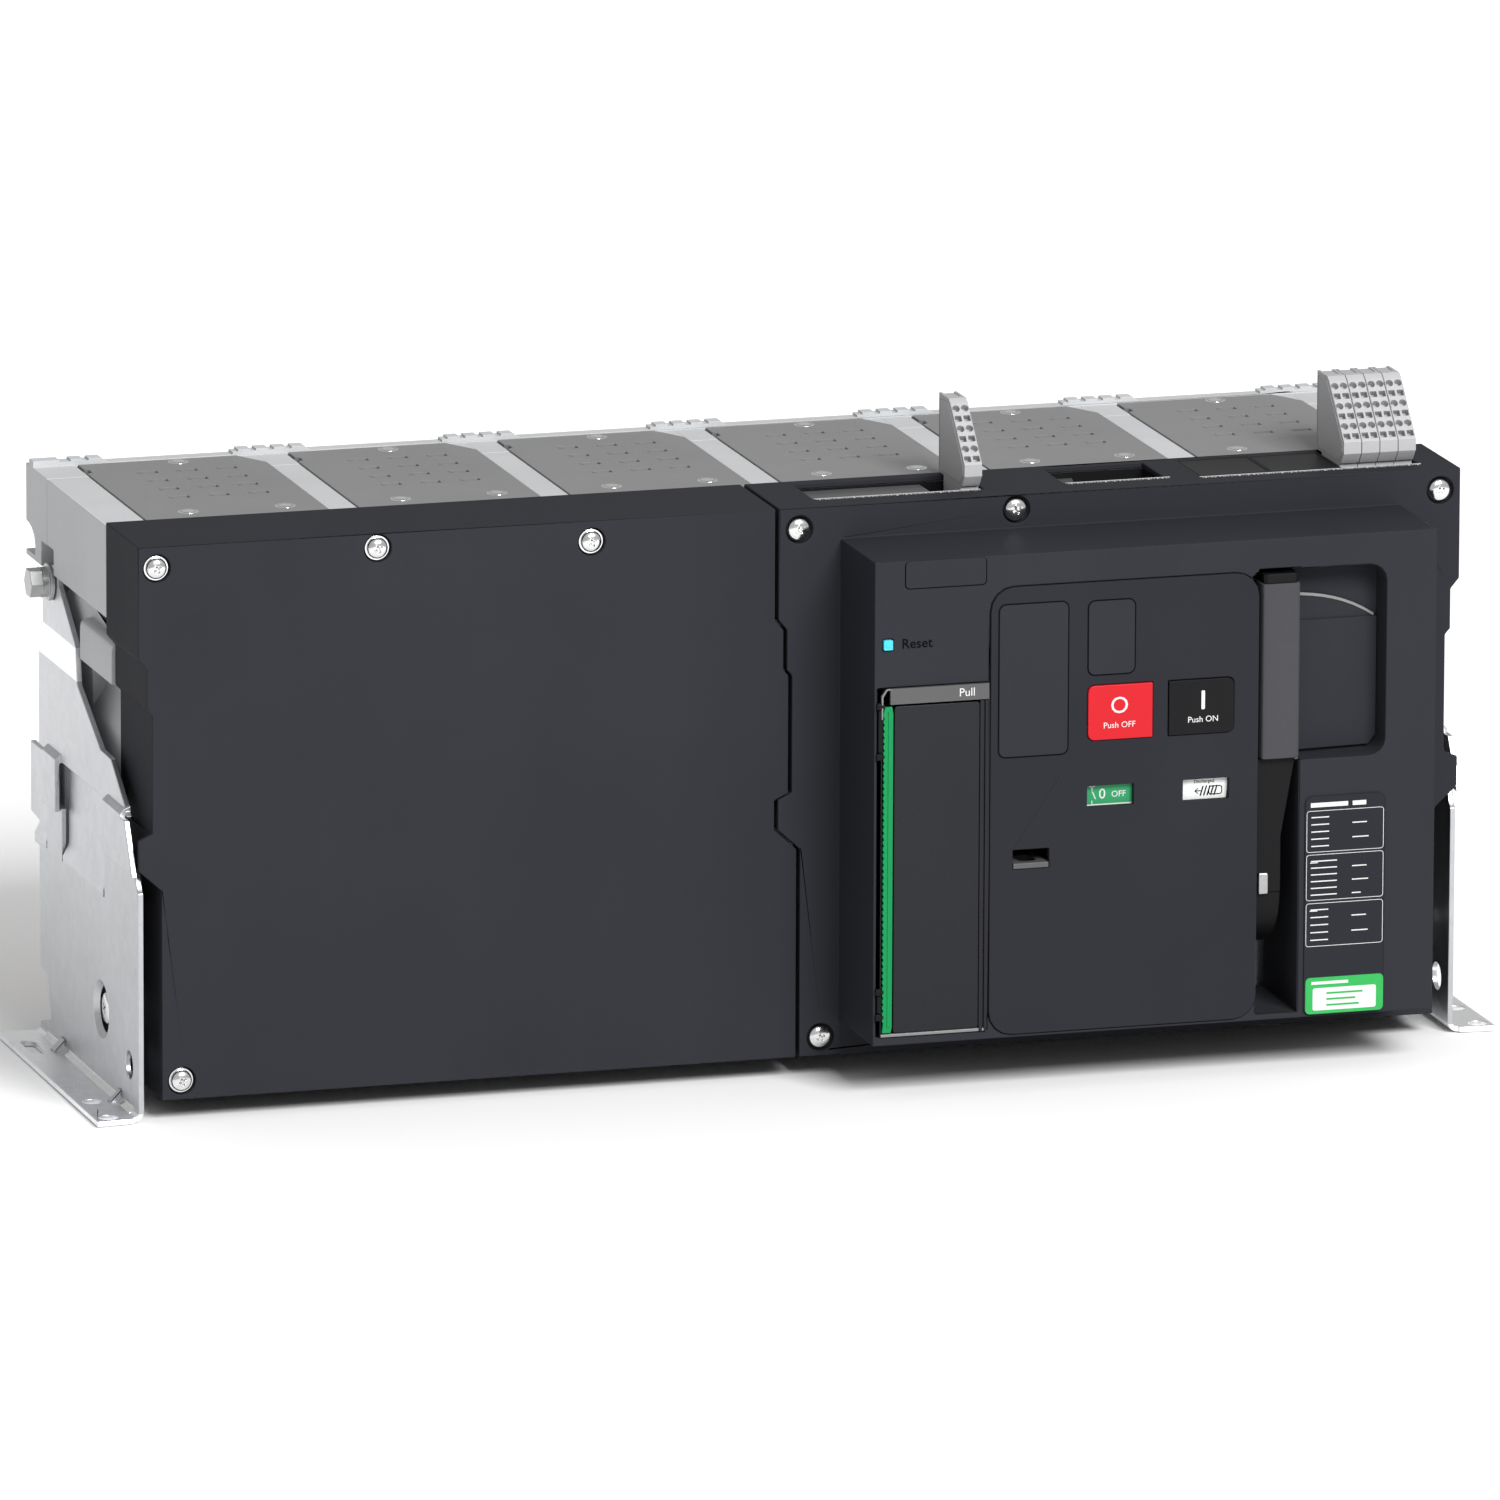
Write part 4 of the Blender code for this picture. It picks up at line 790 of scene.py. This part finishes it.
def flag_marks():
    """Marks of both fields of the two flags; the lower fields show when the flags have risen."""
    _, d, z = box_mm("contact_indicator")
    face = d[0]
    bm = bmesh.new()
    add_words(bm, "0", 7.8, 144.6, 156.8, face)
    add_words(bm, "OFF", 4.6, 153.6, 156.4, face)
    add_line(bm, [(139.0, 161.5), (139.0, 158.8), (140.9, 154.6)], 0.5, 0.12, face)
    add_line(bm, [(139.0, 153.4), (139.0, 151.8)], 0.5, 0.12, face)
    add_line(bm, [(137.6, 161.2), (140.4, 161.2)], 0.5, 0.12, face)
    add_box(bm, (134.6, 161.4), (face - 0.1, face + 0.1), (151.0, 151.7))
    piece("contact_marks", bm, "mark_white", "contact_indicator", 0.0)
    bm = bmesh.new()
    low = z[0] + 0.4
    add_box(bm, (134.0, 162.2), (face - 0.25, face + 0.1), (low, 149.9))
    add_words(bm, "I", 7.8, 144.0, (low + 149.9) / 2, face - 0.25, index=1)
    add_words(bm, "ON", 4.6, 152.4, (low + 149.9) / 2, face - 0.25, index=1)
    piece("contact_second_field", bm, "red mark_white", "contact_indicator", 0.0)
    z = box_mm("charge_indicator")[2]
    bm = bmesh.new()
    add_border(bm, (203.0, 210.6), (152.8, 157.6), 1.4, 0.5, face, 0.12)
    for i in range(5):
        add_line(bm, [(198.6 + 1.9 * i, 152.9), (200.0 + 1.9 * i, 157.4)], 0.75, 0.12, face)
    add_line(bm, [(195.8, 155.2), (198.4, 155.2)], 0.5, 0.12, face)
    add_line(bm, [(197.2, 156.6), (195.6, 155.2), (197.2, 153.8)], 0.4, 0.12, face)
    add_words(bm, "Discharged", 2.5, 200.5, 160.2, face)
    piece("charge_marks", bm, "mark_dark", "charge_indicator", 0.0)
    bm = bmesh.new()
    add_box(bm, (186.6, 214.4), (face - 0.25, face + 0.1), (z[0] + 0.4, 149.9))
    for i in range(8):
        add_line(bm, [(193.0 + 1.9 * i, 140.6), (194.4 + 1.9 * i, 146.6)], 0.75, 0.12, face - 0.25, 1)
    piece("charge_second_field", bm, "yellow mark_dark", "charge_indicator", 0.0)


def face_trim():
    """The word beside the reset button, the blank name tag, and the reset button's cap."""
    face = FACE_D
    bm = bmesh.new()
    add_words(bm, "Reset", 7.4, 33.6, 244.3, face, "LEFT", thick=0.3)
    piece("reset_word", bm, "mark_dark", ROOT, 0.0)
    tag = bmesh.new()
    add_prism(tag, rounded((35.8, 79.4), (273.8, 288.2), 2.2), "xz", (face - 0.35, face + 0.3))
    add_border(tag, (35.2, 80.0), (273.2, 288.3), 2.6, 0.6, face, 0.16, 1)
    piece("name_tag", tag, "cover_grey mark_dark", ROOT, 0.15)
    x, d, z = box_mm("reset_button")
    cap = bmesh.new()
    add_box(cap, x, (d[0] + 8.0, d[1]), z)
    add_prism(cap, rounded((23.7, 28.7), (241.7, 247.1), 0.8), "xz", (d[0], d[0] + 9.0))
    add_prism(cap, rounded((24.9, 27.5), (243.2, 245.9), 0.6), "xz", (d[0] - 0.25, d[0] + 0.3))
    piece("reset_cap", cap, "cyan", "reset_button", 0.3, ["reset_button"])


def panel_blanks():
    """Two blank covers in the panel, each ringed by a flat dark line as the painted shade of its groove."""
    face = box_mm("control_panel")[1][0]
    for tag, x, z in (("tall", (86.0, 124.8), (180.1, 262.6)), ("small", (134.7, 161.3), (221.2, 261.8))):
        bm = bmesh.new()
        inner = rounded((x[0] + 0.7, x[1] - 0.7), (z[0] + 0.7, z[1] - 0.7), 3.5)
        add_prism(bm, inner, "xz", (face - 0.45, face + 0.3))
        # Painted shade: the dark ring stands in for the shade in the groove.
        add_border(bm, x, z, 4.1, 1.1, face, 0.12, 1)
        piece(f"panel_blank_{tag}", bm, "cover_grey mark_dark", ROOT, 0.3)


def grip():
    """Textured grip with a dark cap on top and a lighter parting line, and the block on the drum."""
    x, d, z = box_mm("handle_grip")
    bm = bmesh.new()
    outline = [(x[0], d[1]), (x[0], d[0] + 2.2), (x[0] + 0.7, d[0] + 0.8), (x[0] + 2.6, d[0] + 0.1)]
    outline.append((sum(x) / 2, d[0]))
    outline += [(sum(x) - u, v) for u, v in reversed(outline[:-1])]
    add_prism(bm, outline, "xd", (z[0], z[1] - 5.2))
    cap = [(x[0] + 0.9, d[1]), (x[0] + 0.9, d[0] + 2.6), (x[0] + 2.8, d[0] + 0.9)]
    cap += [(sum(x) - u, v) for u, v in reversed(cap)]
    add_prism(bm, cap, "xd", (z[1] - 5.2, z[1]), 1)
    add_box(bm, (x[1] - 0.35, x[1] + 0.12), (d[0] + 2.4, d[1] - 1.0), (z[0] + 0.4, z[1] - 5.6), 2)
    add_box(bm, (x[1] - 2.6, x[1] - 0.4), (d[0] + 1.0, d[1] - 1.0), (z[0] - 1.0, z[0]), 2)
    piece("grip", bm, "grip_grey black pull_grey", "charging_handle", 0.5, ["handle_grip"])
    boss = bmesh.new()
    add_box(boss, (230.6, 236.4), (-59.6, -50.0), (97.2, 109.0))
    piece("handle_boss", boss, "steel", "charging_handle", 1.2, segments=4)


# Rating plate and sticker


def rating_label():
    """Three outlined fields with plain bars in place of the ratings, and a blank green sticker."""
    face = box_mm("rating_plate")[1][0]
    thin = (face - 0.06, face + 0.1)
    bm = bmesh.new()
    add_box(bm, (258.4, 279.0), thin, (143.0, 145.4))
    add_box(bm, (281.5, 289.0), thin, (143.0, 145.4))
    for top, low, rows in ((141.2, 118.8, 5), (117.6, 92.8, 6), (91.4, 68.0, 5)):
        add_border(bm, (256.2, 298.8), (low, top), 1.6, 0.28, face, 0.06)
        pitch = (top - low - 3.0) / rows
        for row in range(rows):
            level = top - 3.4 - pitch * row
            first = 262.0 + 4.6 * ((row * 5 + int(top)) % 5)
            add_box(bm, (258.8, first + 2.0), thin, (level - 0.5, level + 0.1))
            if row % 2:
                add_box(bm, (281.5, 286.5 + (row * 3) % 5), thin, (level - 0.5, level + 0.1))
    add_line(bm, [(258.6, 113.2), (262.4, 113.2)], 0.5, 0.06, face)
    add_line(bm, [(258.6, 87.2), (262.4, 87.2)], 0.5, 0.06, face)
    piece("rating_marks", bm, "mark_white", ROOT, 0.0)
    sticker = bmesh.new()
    add_prism(sticker, rounded((256.4, 299.4), (31.6, 51.2), 2.4), "xz", (face - 0.12, face + 0.1))
    add_prism(sticker, rounded((260.4, 295.4), (33.4, 45.5), 1.2), "xz", (face - 0.2, face), 1)
    for level, right in ((42.6, 288.0), (39.4, 284.0), (36.2, 286.0)):
        add_box(sticker, (268.0, right), (face - 0.26, face - 0.1), (level - 0.6, level + 0.4), 0)
    add_box(sticker, (259.6, 280.0), (face - 0.2, face), (47.4, 49.0), 1)
    piece("sticker", sticker, "sticker_green mark_white", ROOT, 0.0)


# Pocket, top openings and other trim


def pocket_trim():
    """Ledge across the back of the finger pocket and the curved edge above it, with a lighter band along that
    edge as a painted highlight.
    """
    back = FACE_D + POCKET_DEPTH
    bm = bmesh.new()
    arc = [(252.8, 255.4)]
    for step in range(1, 9):
        part = step / 8
        arc.append((252.8 + 44.8 * part, 255.4 - 3.2 * part - 10.4 * part ** 2.6))
    above = arc + [(299.4, 240.0), (299.4, 176.4), (295.0, 171.4), (252.8, 170.6)]
    add_prism(bm, above, "xz", (back - 1.4, back + 0.4))
    ledge = [(253.0, 240.4), (299.2, 240.4), (299.2, 176.4), (294.8, 171.6), (253.0, 170.8)]
    add_prism(bm, ledge, "xz", (back - 3.0, back - 1.4))
    piece("pocket_back", bm, "cover_grey", ROOT, 0.5)
    # Painted highlight: a band of lighter grey along the curved edge.
    line = bmesh.new()
    below = [(x, z - 1.5) for x, z in reversed(arc)]
    add_prism(line, arc + below, "xz", (back - 1.9, back - 1.3))
    piece("pocket_edge_highlight", line, "chute_grey", ROOT, 0.0)


def top_trim():
    """Black sheets in the wells as painted shade, a painted highlight along the lit edge and ticks in front
    of them, and blank covers.
    """
    top, shade_heights = COVER_TOP, (262.4, 303.4)
    wells = [((9.8, 102.9), (18.5, 57.0)), ((147.8, 203.0), (20.5, 58.5)), ((300.6, 342.4), (16.5, 63.2))]
    # Painted shade: thin black sheets line the walls and floor of each well.
    shade_sheets = bmesh.new()
    for (x0, x1), (d0, d1) in wells:
        x0, x1, d0, d1 = x0 - 0.6, x1 + 0.6, d0 - 4.4, d1 - 0.2
        if d1 > 60.0:
            d1 -= 1.0
        add_box(shade_sheets, (x0, x0 + 0.5), (d0, d1), shade_heights)
        add_box(shade_sheets, (x1 - 0.5, x1), (d0, d1), shade_heights)
        add_box(shade_sheets, (x0 + 0.5, x1 - 0.5), (d0, d0 + 0.5), shade_heights)
        add_box(shade_sheets, (x0 + 0.5, x1 - 0.5), (d1 - 0.5, d1), shade_heights)
        add_box(shade_sheets, (x0 + 0.5, x1 - 0.5), (d0 + 0.5, d1 - 0.5), (262.4, 262.9))
    piece("well_painted_shade", shade_sheets, "black", ROOT, 0.0)
    plate = bmesh.new()
    add_prism(plate, [(11.0, 25.4), (79.5, 25.4), (79.5, 55.8), (11.0, 55.8)], "xd", (300.4, 302.4))
    add_prism(plate, [(150.0, 30.0), (158.0, 30.0), (164.0, 57.6), (150.0, 57.6)], "xd", (299.0, 300.5))
    for x0, x1 in ((12.0, 88.0), (150.0, 201.0)):
        d0 = 18.9 if x0 < 100 else 20.9
        spot = x0
        while spot < x1:
            add_box(plate, (spot, spot + 2.7), (d0, d0 + 1.2), (300.6, 305.2))
            spot += 5.4
    piece("well_plates", plate, "pull_grey", ROOT, 0.2)
    # Painted highlight: a white strip along the lit front edge of each well, with white ticks in front of it.
    white = bmesh.new()
    for x0, x1, d0 in ((9.8, 101.0, 17.6), (148.5, 206.0, 19.4), (221.0, 343.6, 15.2)):
        add_box(white, (x0, x1), (d0, d0 + 0.8), (top - 0.3, top + 0.12))
        spot, count = x0 + 1.0, 0
        while spot < x1 - 1.0:
            wide = (0.5, 0.9, 0.4, 1.3, 0.6)[count % 5]
            deep = (1.1, 1.7, 0.9)[count % 3]
            add_box(white, (spot, spot + wide), (d0 - 1.0 - deep, d0 - 0.8), (top - 0.3, top + 0.06))
            spot += wide + (0.7, 1.1, 0.9, 0.6)[count % 4]
            count += 1
    piece("top_edge_highlights_and_ticks", white, "mark_white", ROOT, 0.0)
    blanks = bmesh.new()
    for x in ((222.9, 260.3), (262.7, 298.9)):
        add_prism(blanks, rounded(x, (20.4, 57.6), 0.8), "xd", (top - 1.1, top - 0.35))
    piece("top_blanks", blanks, "black", ROOT, 0.3)


def side_trim():
    """Gussets, a bright strip in the bend of the bracket's foot as a painted highlight, and the screw seen
    through its dished hole.
    """
    for tag, sign, facing in (("left", -1, LEFT), ("right", 1, RIGHT)):
        bm = bmesh.new()
        for low, high in ((143.0, 165.0), (29.0, 48.0)):
            wedge = [(360.3, 9.6), (360.9, 9.9), (367.2, 3.4), (366.8, 2.8), (360.3, 2.8)]
            add_prism(bm, [(sign * x, z) for x, z in wedge], "xz", (low + 7.5, high - 7.5))
        piece(f"gussets_{tag}", bm, "zinc", ROOT, 0.9, segments=4)
        # Painted highlight: a quarter-round strip in the bright finish along the bend of the foot.
        bm = bmesh.new()
        fold_highlight = [(360.2, 2.8), (363.6, 2.8), (363.0, 3.5), (361.4, 4.7), (360.8, 6.2), (360.2, 6.2)]
        add_prism(bm, [(sign * x, z) for x, z in fold_highlight], "xz", (12.0, 186.0))
        piece(f"fold_{tag}", bm, "bright", ROOT, 0.3)
        head = bmesh.new()
        profile = [(10.0, 0.0), (10.0, 4.6), (8.2, 4.9), (8.2, 7.0), (7.2, 7.8), (4.0, 8.2), (0.0, 8.3)]
        add_turned(head, (sign * 349.9, 80.0, 43.0), facing, profile, 32)
        recess = cross_recess((sign * 358.4, 80.0, 43.0), facing, 3.6, 1.8)
        piece(f"case_screw_{tag}", carved(head, recess), "bright", ROOT, 0.15)


def rear_trim():
    """Drilled terminal pads, and ribs between the poles on the back wall."""
    for level in ("upper", "lower"):
        x, d, z = box_mm(f"{level}_terminal_1")
        bm = bmesh.new()
        stabs = (178.0, d[1] - 10.0)
        middle, height = sum(x) / 2, sum(z) / 2
        add_box(bm, x, (d[1] - 10.7, d[1]), z)
        for side in (-1, 1):
            spot = middle + side * 57.5
            add_box(bm, (spot - 30.0, spot + 30.0), stabs, (height - 10.0, height + 10.0))
        holes = bmesh.new()
        for column in range(6):
            for row in (-1, 1):
                spot = (x[0] + 17.0 + 30.0 * column, d[1] - 9.0, height + 12.5 * row)
                add_turned(holes, spot, FORWARD, [(5.4, -12.0), (5.4, 7.5)], 24)
        bm = carved(bm, holes)
        source = piece(f"{level}_pad_1", bm, "copper", ROOT, 0.5, [f"{level}_terminal_1"])
        for i in (2, 3):
            shift = (box_mm(f"{level}_terminal_{i}")[0][0] - x[0], 0.0, 0.0)
            twin(source, f"{level}_pad_{i}", shift, ROOT, [f"{level}_terminal_{i}"], 0.5)
    wall = box_mm("rear_case")
    ribs = bmesh.new()
    back = wall[1][1] - 7.0
    for i in range(-3, 4):
        at = max(-345.0, min(345.0, 115.0 * i))
        add_box(ribs, (at - 2.0, at + 2.0), (back, back + 3.2), (20.0, 64.0))
        add_box(ribs, (at - 2.0, at + 2.0), (back, back + 3.2), (112.0, 169.0))
        add_box(ribs, (at - 2.0, at + 2.0), (back, back + 3.2), (217.0, 250.0))
    for level in (66.0, 110.0, 171.0, 215.0, 252.0):
        add_box(ribs, (wall[0][0] + 16.0, wall[0][1] - 16.0), (back, back + 2.2), (level - 1.5, level + 1.5))
    piece("rear_ribs", ribs, "case_grey", ROOT, 0.4)


make_camera()
make_studio()
cover_screws()
terminal_blocks()
arc_chute_lids()
window_door()
trip_unit()
button_marks()
flag_marks()
face_trim()
panel_blanks()
grip()
rating_label()
pocket_trim()
top_trim()
side_trim()
rear_trim()
for node_name in frame["nodes"]:
    dress_node(node_name)
